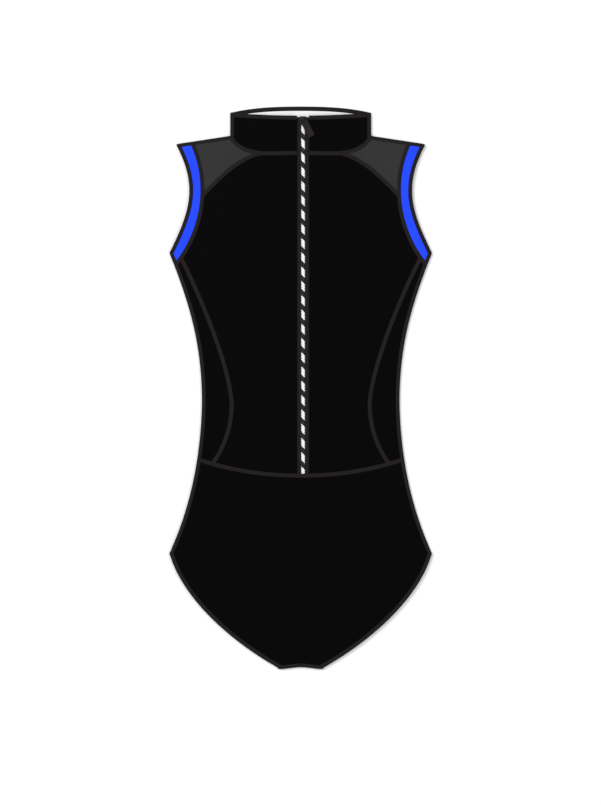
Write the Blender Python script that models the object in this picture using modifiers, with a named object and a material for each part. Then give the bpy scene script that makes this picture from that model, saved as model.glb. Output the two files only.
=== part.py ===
"""Sleeveless leotard with a stand collar and a front zip, laid out flat on its back.

Lengths below are millimetres, and MM turns them into Blender's metres. +Z is up, the neck points to +Y,
and left and right are the wearer's, so the left side is at +X. The origin is under the middle of the outline.
The front layer lies on the back layer. Each cloth piece is its outer surface, given a wall by Solidify.
"""

import math

import bmesh
import bpy
from mathutils import Matrix, Vector

MM = 0.001

# Cloth, and the gap between the pieces that meet at a seam
CLOTH = 1.2
LINING = 1.0
TAPE = 1.0
SEAM_GAP = 0.3
HALF_GAP = SEAM_GAP / 2

# How the curves and meshes are worked out: SAME_POINT in millimetres, MERGE in metres
SAME_POINT = 0.001
MERGE = 0.00001
HALVINGS = 40
NEARLY_STRAIGHT = 0.1
SHARP_ANGLE = math.radians(50)

# At the sides, shoulders and crotch the front layer turns round a small edge and a little way under
EDGE_HEIGHT = 3.6
EDGE_RADIUS = EDGE_HEIGHT / 2
EDGE_STEPS = 4
EDGE_LAP = 0.6
BACK_INSET = EDGE_RADIUS + EDGE_LAP + SEAM_GAP

# The air in the garment lifts the front layer this much more in its middle
LOFT = 2.75
LOFT_SIDE_RUN = 60.0
LOFT_SHOULDER_RUN = 40.0
LOFT_CROTCH_RUN = 45.0
OPEN_EDGE_LOFT = 0.3
OPEN_EDGE_RUN = 25.0

# The left half of the outline and its seams, as cubic curves of (across, along) from the middle of the garment
NECK_POINT = (89.3, 319.5)
SHOULDER_TIP = (158.4, 309.0)
UNDERARM = (166.5, 171.0)
HIP = (166.5, -210.0)
WAIST_SIDE = (125.3, -20.5)
CROTCH_CORNER = (25.5, -357.0)
PANEL_WAIST = (87.5, -20.5)
COLLAR_CORNER = (89.3, 349.0)
ARMHOLE_EDGE = (SHOULDER_TIP, (129.5, 255.0), (140.7, 223.5), UNDERARM)
BAND_SEAM = ((138.6, 312.0), (114.0, 262.0), (122.5, 199.0), (160.0, 154.6))
SIDE_UPPER = (UNDERARM, (139.8, 104.0), (125.0, 52.5), WAIST_SIDE)
SIDE_LOWER = (WAIST_SIDE, (126.7, -85.5), (139.0, -150.5), HIP)
LEG_EDGE = (HIP, (149.0, -272.0), (79.0, -328.0), CROTCH_CORNER)
CROTCH_EDGE = (CROTCH_CORNER, (17.0, -356.5), (8.0, -354.5), (0.0, -354.5))
PANEL_SEAM_UPPER = ((149.1, 164.8), (128.6, 120.0), (89.4, 26.0), PANEL_WAIST)
PANEL_SEAM_LOWER = (PANEL_WAIST, (87.3, -47.5), (95.7, -74.0), (112.1, -95.3))
WAIST_SEAM = ((131.7, -90.5), (89.4, -104.7), (44.5, -111.7), (0.0, -111.3))
YOKE_SEAM = ((49.1, 297.6), (78.8, 292.2), (104.1, 264.4), (124.3, 243.5))
NECK_FRONT = (NECK_POINT, (74.0, 288.0), (28.0, 299.5), (0.0, 297.2))
NECK_BACK = (NECK_POINT, (66.0, 314.5), (33.0, 313.0), (0.0, 313.0))
COLLAR_TOP_FRONT = (COLLAR_CORNER, (62.0, 346.2), (30.0, 344.9), (0.0, 344.9))
COLLAR_TOP_BACK = (COLLAR_CORNER, (59.7, 356.2), (29.5, 357.0), (0.0, 357.0))

# How many straight runs each stretch of a seam or an edge has
RUNS_FRONT_NECK = 4
RUNS_YOKE_SEAM = 6
RUNS_YOKE_NECK = 5
RUNS_PANEL_UPPER = 7
RUNS_PANEL_LOWER = 5
RUNS_BAND_FRONT = 5
RUNS_BAND_PANEL = 2
RUNS_BAND_BACK = 9
RUNS_BAND_ACROSS = 3
RUNS_BACK_SHOULDER = 3
RUNS_BACK_NECK = 5
RUNS_FRONT_SIDE = 4
RUNS_LEG = 12
RUNS_COLLAR_UP = 4

# The lining shows inside the back of the collar, under a turned top edge
COLLAR_HEM = 5.7
LINING_HALF_WIDTH = 78.0
LINING_ABOVE_SEAM = 2.0

# The zip sits a little to the wearer's left of the middle
ZIP_X = 3.0
ZIP_HALF_OPENING = 7.7
TAPE_HALF_WIDTH = 12.5
TAPE_TAIL = 6.0
TAPE_TOP_Y = 343.2
CHAIN_HALF_WIDTH = 2.0
CHAIN_THICK = 1.5

# Heights of the zip's layers, from the front's outer surface down
FRONT_Z = EDGE_HEIGHT + LOFT
TAPE_Z = FRONT_Z - CLOTH - SEAM_GAP
CHAIN_Z = TAPE_Z - TAPE / 2 + CHAIN_THICK / 2

# Slider
SLIDER_Y = 338.2
SLIDER_LENGTH = 11.6
SLIDER_WIDTH = 9.0
SLIDER_TAIL_WIDTH = 6.6
SLIDER_CORNER = 1.6
CORNER_STEPS = 3
UPPER_PLATE = 0.9
LOWER_PLATE = 0.55
POST_WIDTH = 2.4
POST_LENGTH = 2.2
POST_FORWARD = 3.6
POST_Y = SLIDER_Y + POST_FORWARD
CHAIN_TOP_Y = POST_Y - POST_LENGTH / 2 - SEAM_GAP

# The bridge on the slider carries the pull's bar
BRIDGE_Y = 339.6
BRIDGE_HALF_SPAN = 1.7
BRIDGE_THICK = 0.9
BRIDGE_WIDTH = 2.0
BRIDGE_CORNER = 1.2
BRIDGE_STEPS = 4
BRIDGE_ROOT = 0.4

# Pull tab, which lies a little to one side
PULL_ANGLE = math.radians(27.5)
PULL_LENGTH = 23.8
PULL_WIDTH = 8.6
PULL_THICK = 1.3
PULL_BAR_RADIUS = 0.7
PULL_BAR_SIDES = 16
PULL_SLOT_END = 4.4
PULL_SLOT_WIDTH = 5.4
PULL_CORNER = 1.2
PLATE_TOP_Z = CHAIN_Z + SEAM_GAP + UPPER_PLATE
PULL_Z = PLATE_TOP_Z + SEAM_GAP + PULL_BAR_RADIUS

LEFT, RIGHT = 1, -1


def mix(a, b, share):
    return a + (b - a) * share


def smooth(share):
    share = min(max(share, 0.0), 1.0)
    return share * share * (3 - 2 * share)


def cubic(curve, t):
    """The point at t, from 0 to 1, on a cubic curve of four points."""
    a, b, c, d = (Vector(p) for p in curve)
    s = 1 - t
    return a * s**3 + b * 3 * s * s * t + c * 3 * s * t * t + d * t**3


def where(curve, measure, value):
    """The t at which measure(point) is value, on a curve along which it only rises or only falls."""
    low, high = 0.0, 1.0
    rising = measure(cubic(curve, 1.0)) > measure(cubic(curve, 0.0))
    for _ in range(HALVINGS):
        middle = (low + high) / 2
        if (measure(cubic(curve, middle)) < value) == rising:
            low = middle
        else:
            high = middle
    return (low + high) / 2


def at_x(curve, x):
    return where(curve, lambda p: p.x, x)


def at_y(curve, y):
    return where(curve, lambda p: p.y, y)


def stretch(curve, start, stop, runs):
    """The points of a curve from t = start to t = stop, in equal steps of t."""
    return [cubic(curve, mix(start, stop, i / runs)) for i in range(runs + 1)]


def straight(a, b, runs):
    return [mix(a, b, i / runs) for i in range(runs + 1)]


def side_x(y):
    """Half the width of the outline between the underarm and the hip."""
    curve = SIDE_UPPER if y > WAIST_SIDE[1] else SIDE_LOWER
    return cubic(curve, at_y(curve, y)).x


def shoulder_y(x):
    (x0, y0), (x1, y1) = NECK_POINT, SHOULDER_TIP
    return mix(y0, y1, (x - x0) / (x1 - x0))


def side_depth(p):
    return side_x(p.y) - p.x


def shoulder_depth(p):
    return shoulder_y(p.x) - p.y


def top_distance(p):
    """How far a point is from the shoulder line, or from the fold at the end of the collar."""
    x = abs(p.x)
    if x >= NECK_POINT[0]:
        return shoulder_y(x) - p.y
    return math.hypot(NECK_POINT[0] - x, max(NECK_POINT[1] - p.y, 0.0))


def edge_x(y):
    """Half the width of the front layer at a height, out to whichever edge is there."""
    if y > UNDERARM[1]:
        return cubic(ARMHOLE_EDGE, at_y(ARMHOLE_EDGE, min(y, SHOULDER_TIP[1]))).x
    if y < HIP[1]:
        return cubic(LEG_EDGE, at_y(LEG_EDGE, y)).x
    return side_x(y)


def front_height(p):
    """How high the outer surface of the front layer is above the floor."""
    open_edge = max(smooth((p.y - UNDERARM[1]) / OPEN_EDGE_RUN), smooth((HIP[1] - p.y) / OPEN_EDGE_RUN))
    across = mix(smooth((edge_x(p.y) - abs(p.x)) / LOFT_SIDE_RUN), 1.0, OPEN_EDGE_LOFT * open_edge)
    down = smooth((p.y - CROTCH_CORNER[1]) / LOFT_CROTCH_RUN)
    up = smooth(top_distance(p) / LOFT_SHOULDER_RUN)
    return EDGE_HEIGHT + LOFT * across * down * up


def on_floor(_):
    return 0.0


class Line:
    """One side of a piece, as plan points, with the gap that each of its runs keeps to its neighbour."""

    def __init__(self, points, gap=0.0, gaps=None):
        self.points = list(points)
        self.gaps = list(gaps) if gaps is not None else [gap] * (len(self.points) - 1)

    def __add__(self, other):
        """The other line after this one. Where their ends differ, a run without a gap joins them."""
        if (self.points[-1] - other.points[0]).length < SAME_POINT:
            return Line(self.points + other.points[1:], gaps=self.gaps + other.gaps)
        return Line(self.points + other.points, gaps=self.gaps + [0.0] + other.gaps)

    def turned(self):
        return Line(self.points[::-1], gaps=self.gaps[::-1])


def inset(sides):
    """The points of four sides, which run anticlockwise, with each run moved inwards by its gap."""
    loop = [p for side in sides for p in side.points[:-1]]
    gaps = [gap for side in sides for gap in side.gaps]
    moved = []
    for i, point in enumerate(loop):
        before = (point - loop[i - 1]).normalized()
        after = (loop[(i + 1) % len(loop)] - point).normalized()
        n1, n2 = Vector((-before.y, before.x)), Vector((-after.y, after.x))
        a, b = gaps[i - 1], gaps[i]
        turn = n1.x * n2.y - n1.y * n2.x
        if abs(turn) < NEARLY_STRAIGHT:
            moved.append(point + (n1 + n2).normalized() * max(a, b))
        else:
            moved.append(point + Vector(((a * n2.y - b * n1.y) / turn, (b * n1.x - a * n2.x) / turn)))
    result, start = [], 0
    for side in sides:
        stop = start + len(side.points) - 1
        result.append([moved[i % len(moved)] for i in range(start, stop + 1)])
        start = stop
    return result


def patch(bottom, right, top, left, height):
    """Rows of points on a surface between four sides that run anticlockwise (a Coons patch)."""
    bottom, right, top, left = inset((bottom, right, top, left))
    top, left = top[::-1], left[::-1]
    rows = []
    for j in range(len(left)):
        v = j / (len(left) - 1)
        row = []
        for i in range(len(bottom)):
            u = i / (len(bottom) - 1)
            corners = mix(mix(bottom[0], bottom[-1], u), mix(top[0], top[-1], u), v)
            p = mix(bottom[i], top[i], v) + mix(left[j], right[j], u) - corners
            row.append(Vector((p.x, p.y, height(p))))
        rows.append(row)
    return rows


def level_with(points, x, bottom_y, top_y):
    """Points on an upright line, each as far up it as the given point is up its own line."""
    low, high = points[0].y, points[-1].y
    return [Vector((x, mix(bottom_y, top_y, (p.y - low) / (high - low)))) for p in points]


def beside(points, curve, start, stop):
    """Points on a curve, each as far along it as the given point is along its own line."""
    lengths = [0.0]
    for a, b in zip(points, points[1:]):
        lengths.append(lengths[-1] + (b - a).length)
    return [cubic(curve, mix(start, stop, length / lengths[-1])) for length in lengths]


def fold(point, outwards, share=1.0, lap=True):
    """The points that turn a surface round a closed edge. With share 0 it runs on flat to an open edge."""
    steps = [math.pi * k / EDGE_STEPS for k in range(1, EDGE_STEPS + lap)]
    turn = [(EDGE_RADIUS * math.sin(a), EDGE_RADIUS * (1 + math.cos(a))) for a in steps]
    if lap:
        turn.append((-EDGE_LAP, 0.0))
    points = []
    for k, (out, z) in enumerate(turn, start=1):
        out = mix(EDGE_RADIUS * k / len(turn), out, share)
        points.append(Vector((*(point.xy + outwards * out), mix(point.z, z, share))))
    return points


def fold_right(rows, shares):
    return [row + fold(row[-1], Vector((1.0, 0.0)), share) for row, share in zip(rows, shares)]


def fold_top(rows):
    ends = [fold(p, Vector((0.0, 1.0))) for p in rows[-1]]
    return rows + [list(row) for row in zip(*ends)]


def fold_bottom(rows):
    ends = [fold(p, Vector((0.0, -1.0)))[::-1] for p in rows[0]]
    return [list(row) for row in zip(*ends)] + rows


def mirrored(rows):
    """The same piece on the other side, with its points still running the same way round."""
    return [[Vector((-p.x, p.y, p.z)) for p in reversed(row)] for row in rows]


def facing_down(rows):
    return [row[::-1] for row in rows]


def material(name, colour, roughness, metallic=0.0):
    made = bpy.data.materials.new(name)
    made.use_nodes = True
    shader = made.node_tree.nodes["Principled BSDF"]
    shader.inputs["Base Color"].default_value = (*colour, 1.0)
    shader.inputs["Roughness"].default_value = roughness
    shader.inputs["Metallic"].default_value = metallic
    return made


def mesh_object(name, bm, finish, collection):
    mesh = bpy.data.meshes.new(name)
    bm.to_mesh(mesh)
    bm.free()
    mesh.shade_smooth()
    mesh.set_sharp_from_angle(angle=SHARP_ANGLE)
    mesh.materials.append(finish)
    obj = bpy.data.objects.new(name, mesh)
    collection.objects.link(obj)
    return obj


def cloth_piece(name, rows, thickness, finish, half=False):
    """An object from rows of outer surface points, with a wall on its inner side. A half is mirrored first."""
    columns, lines = len(rows[0]) - 1, len(rows) - 1
    bm = bmesh.new()
    bmesh.ops.create_grid(bm, x_segments=columns, y_segments=lines, size=0.5)
    for vertex in bm.verts:
        column = round((vertex.co.x + 0.5) * columns)
        line = round((vertex.co.y + 0.5) * lines)
        vertex.co = rows[line][column] * MM
    bmesh.ops.remove_doubles(bm, verts=bm.verts, dist=MERGE)
    obj = mesh_object(name, bm, finish, GARMENT)
    if half:
        mirror = obj.modifiers.new("Other half", "MIRROR")
        mirror.merge_threshold = MERGE
    wall = obj.modifiers.new("Wall", "SOLIDIFY")
    wall.thickness = thickness * MM
    wall.offset = -1.0
    wall.use_even_offset = True
    return obj


def seam_lines():
    """The left half's seams and edges, as shared points, so that pieces that meet have the same ones."""
    lines = {}
    fold_start = at_x(NECK_FRONT, NECK_POINT[0] - EDGE_RADIUS)
    neck_yoke = at_x(NECK_FRONT, YOKE_SEAM[0][0])
    shoulder_end = cubic(NECK_FRONT, where(NECK_FRONT, shoulder_depth, EDGE_RADIUS))
    lines["neck beside collar"] = stretch(NECK_FRONT, fold_start, neck_yoke, RUNS_YOKE_NECK - 1)
    lines["neck beside yoke"] = [shoulder_end, *lines["neck beside collar"]]
    lines["neck beside front"] = stretch(NECK_FRONT, neck_yoke, 1.0, RUNS_FRONT_NECK)

    band_top = where(BAND_SEAM, shoulder_depth, EDGE_RADIUS)
    band_yoke = at_y(BAND_SEAM, YOKE_SEAM[3][1])
    band_panel = at_y(BAND_SEAM, PANEL_SEAM_UPPER[0][1])
    band_end = where(BAND_SEAM, side_depth, EDGE_RADIUS)
    lines["band beside yoke"] = stretch(BAND_SEAM, band_top, band_yoke, RUNS_YOKE_NECK)
    lines["band beside front"] = stretch(BAND_SEAM, band_yoke, band_panel, RUNS_BAND_FRONT)
    lines["band beside panel"] = stretch(BAND_SEAM, band_panel, band_end, RUNS_BAND_PANEL)
    back_top = where(BAND_SEAM, shoulder_depth, BACK_INSET)
    back_end = where(BAND_SEAM, side_depth, BACK_INSET)
    lines["band beside back"] = stretch(BAND_SEAM, back_top, back_end, RUNS_BAND_BACK)

    yoke_seam = (cubic(NECK_FRONT, neck_yoke), *YOKE_SEAM[1:3], cubic(BAND_SEAM, band_yoke))
    lines["yoke seam"] = stretch(yoke_seam, 0.0, 1.0, RUNS_YOKE_SEAM)

    waist_panel = at_x(WAIST_SEAM, PANEL_SEAM_LOWER[3][0])
    waist_side = where(WAIST_SEAM, side_depth, EDGE_RADIUS)
    upper = (cubic(BAND_SEAM, band_panel), *PANEL_SEAM_UPPER[1:])
    lower = (*PANEL_SEAM_LOWER[:3], cubic(WAIST_SEAM, waist_panel))
    lines["panel seam"] = stretch(upper, 0.0, 1.0, RUNS_PANEL_UPPER)
    lines["panel seam"] += stretch(lower, 0.0, 1.0, RUNS_PANEL_LOWER)[1:]
    lines["waist beside panel"] = stretch(WAIST_SEAM, waist_side, waist_panel, RUNS_BAND_PANEL)
    lines["waist beside front"] = stretch(WAIST_SEAM, waist_panel, 1.0, RUNS_FRONT_NECK + RUNS_YOKE_SEAM)
    return lines


def seam(points):
    return Line(points, HALF_GAP)


def up_to_zip(points, curve, side):
    """A seam's points with one at the edge of the zip's opening in place of the last two."""
    opening = ZIP_HALF_OPENING + side * ZIP_X
    return points[:-2] + [cubic(curve, at_x(curve, opening))]


def front_piece(lines, side):
    """One half of the front, from the zip to the panel seam and the armhole band."""
    waist = up_to_zip(lines["waist beside front"], WAIST_SEAM, side)
    neck = up_to_zip(lines["neck beside front"], NECK_FRONT, side)
    right = seam(lines["band beside front"] + lines["panel seam"][1:]).turned()
    zip_edge = Line(level_with(right.points, waist[-1].x, waist[-1].y, neck[-1].y))
    top = seam(lines["yoke seam"][::-1]) + seam(neck)
    return patch(seam(waist).turned(), right, top, zip_edge.turned(), front_height)


def side_heights(lines):
    """The heights of the points on the side seam, from the hip to the waist seam and on to the underarm."""
    waist_y, top_y = lines["waist beside panel"][0].y, lines["band beside panel"][-1].y
    above = level_with(lines["panel seam"][::-1], 0.0, waist_y, top_y)
    return straight(HIP[1], waist_y, RUNS_FRONT_SIDE), [p.y for p in above]


def side_line(heights, move):
    """Points on the side seam, moved in."""
    return [Vector((side_x(y) - move, y)) for y in heights]


def side_panel(lines):
    """The long panel between the panel seam and the side seam."""
    top, waist = lines["band beside panel"], lines["waist beside panel"]
    side = Line(side_line(side_heights(lines)[1], EDGE_RADIUS))
    rows = patch(seam(waist).turned(), side, seam(top).turned(), seam(lines["panel seam"]), front_height)
    return fold_right(rows, [1.0] * len(rows))


def yoke(lines):
    """The shoulder panel between the collar, the armhole band and the front."""
    neck, band = lines["neck beside yoke"], lines["band beside yoke"]
    shoulder = Line(straight(band[0], neck[0], RUNS_YOKE_SEAM))
    rows = patch(seam(lines["yoke seam"]), seam(band).turned(), shoulder, seam(neck), front_height)
    return fold_top(rows)


def leg_line(start_inset, end_inset):
    """The leg opening's edge from the hip to the crotch, moved in by the width of a fold."""
    start = at_y(LEG_EDGE, HIP[1] - start_inset)
    stop = at_y(LEG_EDGE, CROTCH_CORNER[1] + end_inset)
    return stretch(LEG_EDGE, start, stop, RUNS_LEG)


def crotch_line(corner, move, runs):
    """The crotch edge from the middle out to the end of the leg opening, moved in."""
    points = []
    for i in range(runs):
        x = corner.x * i / runs
        t = at_x(CROTCH_EDGE, min(x, CROTCH_CORNER[0]))
        points.append(Vector((x, cubic(CROTCH_EDGE, t).y + move)))
    return points + [corner]


def brief_front(lines):
    """Half of the lower front, from the waist seam to the crotch."""
    waist = lines["waist beside panel"] + lines["waist beside front"][1:]
    side = side_line(side_heights(lines)[0], EDGE_RADIUS)
    leg = [p - Vector((EDGE_RADIUS, 0.0)) for p in leg_line(2 * EDGE_RADIUS, EDGE_RADIUS)]
    right = leg[::-1] + side
    crotch = crotch_line(right[0], EDGE_RADIUS, len(waist) - 1)
    middle = level_with(right, 0.0, crotch[0].y, waist[-1].y)
    rows = patch(Line(crotch), Line(right), seam(waist), Line(middle).turned(), front_height)
    shares = [0.0] * len(leg) + [1.0] * len(side)
    return fold_bottom(fold_right(rows, shares))


def back(lines):
    """Half of the back, which is one flat piece from neck to crotch."""
    leg = leg_line(2 * EDGE_RADIUS, BACK_INSET)[::-1]
    band = lines["band beside back"]
    below, above = side_heights(lines)
    side = side_line(below + above[1:-1], BACK_INSET)
    right = Line(leg + side + [band[-1]]) + seam(band[::-1])
    neck_t = at_x(NECK_BACK, NECK_POINT[0] - EDGE_RADIUS)
    neck = stretch(NECK_BACK, neck_t, 1.0, RUNS_BACK_NECK)
    shoulder_x = neck[0].x + EDGE_RADIUS / 2
    shoulder_end = Vector((shoulder_x, shoulder_y(shoulder_x) - BACK_INSET))
    top = Line(straight(band[0], shoulder_end, RUNS_BACK_SHOULDER)) + seam(neck)
    crotch = crotch_line(leg[0], BACK_INSET, len(top.points) - 1)
    middle = level_with(right.points, 0.0, crotch[0].y, neck[-1].y)
    return facing_down(patch(Line(crotch), right, top, Line(middle).turned(), on_floor))


def band(lines):
    """The band round an armhole, a ring that turns under at the shoulder and the underarm."""
    top_t = where(ARMHOLE_EDGE, shoulder_depth, EDGE_RADIUS)
    end_t = at_y(ARMHOLE_EDGE, UNDERARM[1] + EDGE_RADIUS)
    front_seam = lines["band beside yoke"] + lines["band beside front"][1:] + lines["band beside panel"][1:]
    back_seam = [front_seam[0], *lines["band beside back"], front_seam[-1]]
    strips = []
    for inner, height in ((front_seam, front_height), (back_seam, on_floor)):
        outer = beside(inner, ARMHOLE_EDGE, top_t, end_t)
        under = Line(straight(inner[-1], outer[-1], RUNS_BAND_ACROSS))
        over = Line(straight(outer[0], inner[0], RUNS_BAND_ACROSS))
        strips.append(patch(under, Line(outer).turned(), over, seam(inner), height))
    front, behind = strips
    to_corner = (Vector(UNDERARM) - front[0][-1].xy) / EDGE_RADIUS
    over, under = [], []
    for i, (high, low) in enumerate(zip(front[-1], front[0])):
        over.append(fold(high, Vector((0.0, 1.0)), lap=False))
        under.append(fold(low, mix(Vector((1.0, 0.0)), to_corner, i / RUNS_BAND_ACROSS), lap=False))
    over, under = [list(row) for row in zip(*over)], [list(row) for row in zip(*under)]
    return front + over + behind[::-1] + under[::-1] + [front[0]]


def collar_front(lines, side):
    """One half of the collar's front, from the zip to the fold at its end."""
    neck = up_to_zip(lines["neck beside front"], NECK_FRONT, side)
    neck = lines["neck beside collar"] + neck[1:]
    top = [cubic(COLLAR_TOP_FRONT, at_x(COLLAR_TOP_FRONT, p.x)) for p in neck]
    fold_line = Line(straight(neck[0], top[0], RUNS_COLLAR_UP))
    zip_edge = Line(straight(top[-1], neck[-1], RUNS_COLLAR_UP))
    return patch(seam(neck).turned(), fold_line, Line(top), zip_edge, front_height)


def collar_back():
    """Half of the collar's back, from the middle to the fold at its end."""
    neck_t = at_x(NECK_BACK, NECK_POINT[0] - EDGE_RADIUS)
    neck = stretch(NECK_BACK, neck_t, 1.0, RUNS_BACK_NECK)
    top = [cubic(COLLAR_TOP_BACK, at_x(COLLAR_TOP_BACK, p.x)) for p in neck]
    fold_line = Line(straight(neck[0], top[0], RUNS_COLLAR_UP))
    middle = Line(straight(top[-1], neck[-1], RUNS_COLLAR_UP))
    return patch(seam(neck).turned(), fold_line, Line(top), middle, on_floor)


def collar(lines):
    """The stand collar, one strip from the zip round the neck to the zip."""
    left_front = collar_front(lines, LEFT)
    right_front = mirrored(collar_front(lines, RIGHT))
    back_half = collar_back()
    rows = []
    for j, behind in enumerate(back_half):
        fold_y = mix(NECK_POINT[1] + 2 * SEAM_GAP, COLLAR_CORNER[1], j / RUNS_COLLAR_UP)
        turn = fold(Vector((left_front[j][-1].x, fold_y, EDGE_HEIGHT)), Vector((1.0, 0.0)), lap=False)
        other_behind, other_turn = mirrored([behind])[0], mirrored([turn])[0]
        across = behind[::-1] + other_behind[::-1][1:]
        rows.append(left_front[j] + turn + across + other_turn + right_front[j])
    return rows


def collar_lining():
    """Half of the lining inside the back of the collar. It lies on the collar's back."""
    xs = [LINING_HALF_WIDTH * i / RUNS_BACK_NECK for i in range(RUNS_BACK_NECK + 1)]
    bottom = [cubic(NECK_BACK, at_x(NECK_BACK, x)) + Vector((0.0, LINING_ABOVE_SEAM)) for x in xs]
    top = [cubic(COLLAR_TOP_BACK, at_x(COLLAR_TOP_BACK, x)) - Vector((0.0, COLLAR_HEM)) for x in xs]
    end = Line(straight(bottom[-1], top[-1], RUNS_COLLAR_UP))
    middle = Line(straight(top[0], bottom[0], RUNS_COLLAR_UP))
    return patch(Line(bottom), end, Line(top[::-1]), middle, lambda p: CLOTH + SEAM_GAP + LINING)


def strip(x_low, x_high, y_low, y_high, z):
    return [[Vector((x, y, z)) for x in (x_low, x_high)] for y in (y_low, y_high)]


def box(name, size, centre, finish, collection):
    bm = bmesh.new()
    place = Matrix.Translation(Vector(centre) * MM) @ Matrix.Diagonal((*(Vector(size) * MM), 1.0))
    bmesh.ops.create_cube(bm, size=1.0, matrix=place)
    return mesh_object(name, bm, finish, collection)


def round_upright_edges(obj, radius):
    bm = bmesh.new()
    bm.from_mesh(obj.data)
    upright = [e for e in bm.edges if abs(e.verts[0].co.z - e.verts[1].co.z) > MERGE]
    bmesh.ops.bevel(bm, geom=upright, offset=radius * MM, segments=CORNER_STEPS, profile=0.5, affect="EDGES")
    bm.to_mesh(obj.data)
    bm.free()


def combine(obj, other, operation):
    """Adds or cuts with another object, which is only a helper."""
    other.hide_render = True
    other.display_type = "WIRE"
    step = obj.modifiers.new(other.name, "BOOLEAN")
    step.operation = operation
    step.object = other


def slider_plate(name, low_z, thickness, finish, collection):
    """A plate of the slider, narrower at its tail."""
    size = (SLIDER_WIDTH, SLIDER_LENGTH, thickness)
    plate = box(name, size, (ZIP_X, SLIDER_Y, low_z + thickness / 2), finish, collection)
    for vertex in plate.data.vertices:
        if vertex.co.y < SLIDER_Y * MM:
            vertex.co.x = mix(ZIP_X * MM, vertex.co.x, SLIDER_TAIL_WIDTH / SLIDER_WIDTH)
    round_upright_edges(plate, SLIDER_CORNER)
    return plate


def bridge_path():
    """The outer line of the bridge from root to root, as (along, height) pairs."""
    half_span = BRIDGE_HALF_SPAN + BRIDGE_THICK
    corner = BRIDGE_CORNER + BRIDGE_THICK
    top_z = PULL_Z + PULL_BAR_RADIUS + SEAM_GAP + BRIDGE_THICK
    half = [(half_span, PLATE_TOP_Z - BRIDGE_ROOT)]
    for k in range(BRIDGE_STEPS + 1):
        angle = math.radians(90) * k / BRIDGE_STEPS
        half.append((half_span - corner * (1 - math.cos(angle)), top_z - corner * (1 - math.sin(angle))))
    return half + [(-along, z) for along, z in reversed(half)]


def zip_slider(finish):
    """Two plates joined by a post, with a bridge on the upper one."""
    upper = slider_plate("zip_slider", CHAIN_Z + SEAM_GAP, UPPER_PLATE, finish, GARMENT)
    lower_top = CHAIN_Z - CHAIN_THICK - SEAM_GAP
    lower = slider_plate("slider_lower_plate", lower_top - LOWER_PLATE, LOWER_PLATE, finish, HELPERS)
    post_low, post_high = lower_top - LOWER_PLATE / 2, CHAIN_Z + SEAM_GAP + UPPER_PLATE / 2
    post_size = (POST_WIDTH, POST_LENGTH, post_high - post_low)
    post = box("slider_post", post_size, (ZIP_X, POST_Y, (post_low + post_high) / 2), finish, HELPERS)
    rows = [
        [Vector((ZIP_X + across * BRIDGE_WIDTH / 2, BRIDGE_Y + along, z)) for across in (1, -1)]
        for along, z in bridge_path()
    ]
    bridge = cloth_piece("slider_bridge", rows, BRIDGE_THICK, finish)
    GARMENT.objects.unlink(bridge)
    HELPERS.objects.link(bridge)
    for other in (post, lower, bridge):
        combine(upper, other, "UNION")


def zip_pull(finish):
    """The pull tab. Its origin is on the axis of its bar, which passes under the bridge."""
    tab_size = (PULL_WIDTH, PULL_LENGTH, PULL_THICK)
    tab = box("zip_pull", tab_size, (0.0, -PULL_LENGTH / 2, 0.0), finish, GARMENT)
    round_upright_edges(tab, PULL_CORNER)
    slot_size = (PULL_SLOT_WIDTH, 2 * PULL_SLOT_END, 2 * PULL_THICK)
    slot = box("pull_slot", slot_size, (0.0, 0.0, 0.0), finish, HELPERS)
    bm = bmesh.new()
    radius, length = PULL_BAR_RADIUS * MM, PULL_WIDTH * MM
    lie = Matrix.Rotation(math.radians(90), 4, "Y")
    bmesh.ops.create_cone(
        bm, cap_ends=True, segments=PULL_BAR_SIDES, radius1=radius, radius2=radius, depth=length, matrix=lie
    )
    bar = mesh_object("pull_bar", bm, finish, HELPERS)
    combine(tab, slot, "DIFFERENCE")
    combine(tab, bar, "UNION")
    for obj in (tab, slot, bar):
        obj.location = Vector((ZIP_X, BRIDGE_Y, PULL_Z)) * MM
        obj.rotation_euler.z = PULL_ANGLE


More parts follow.
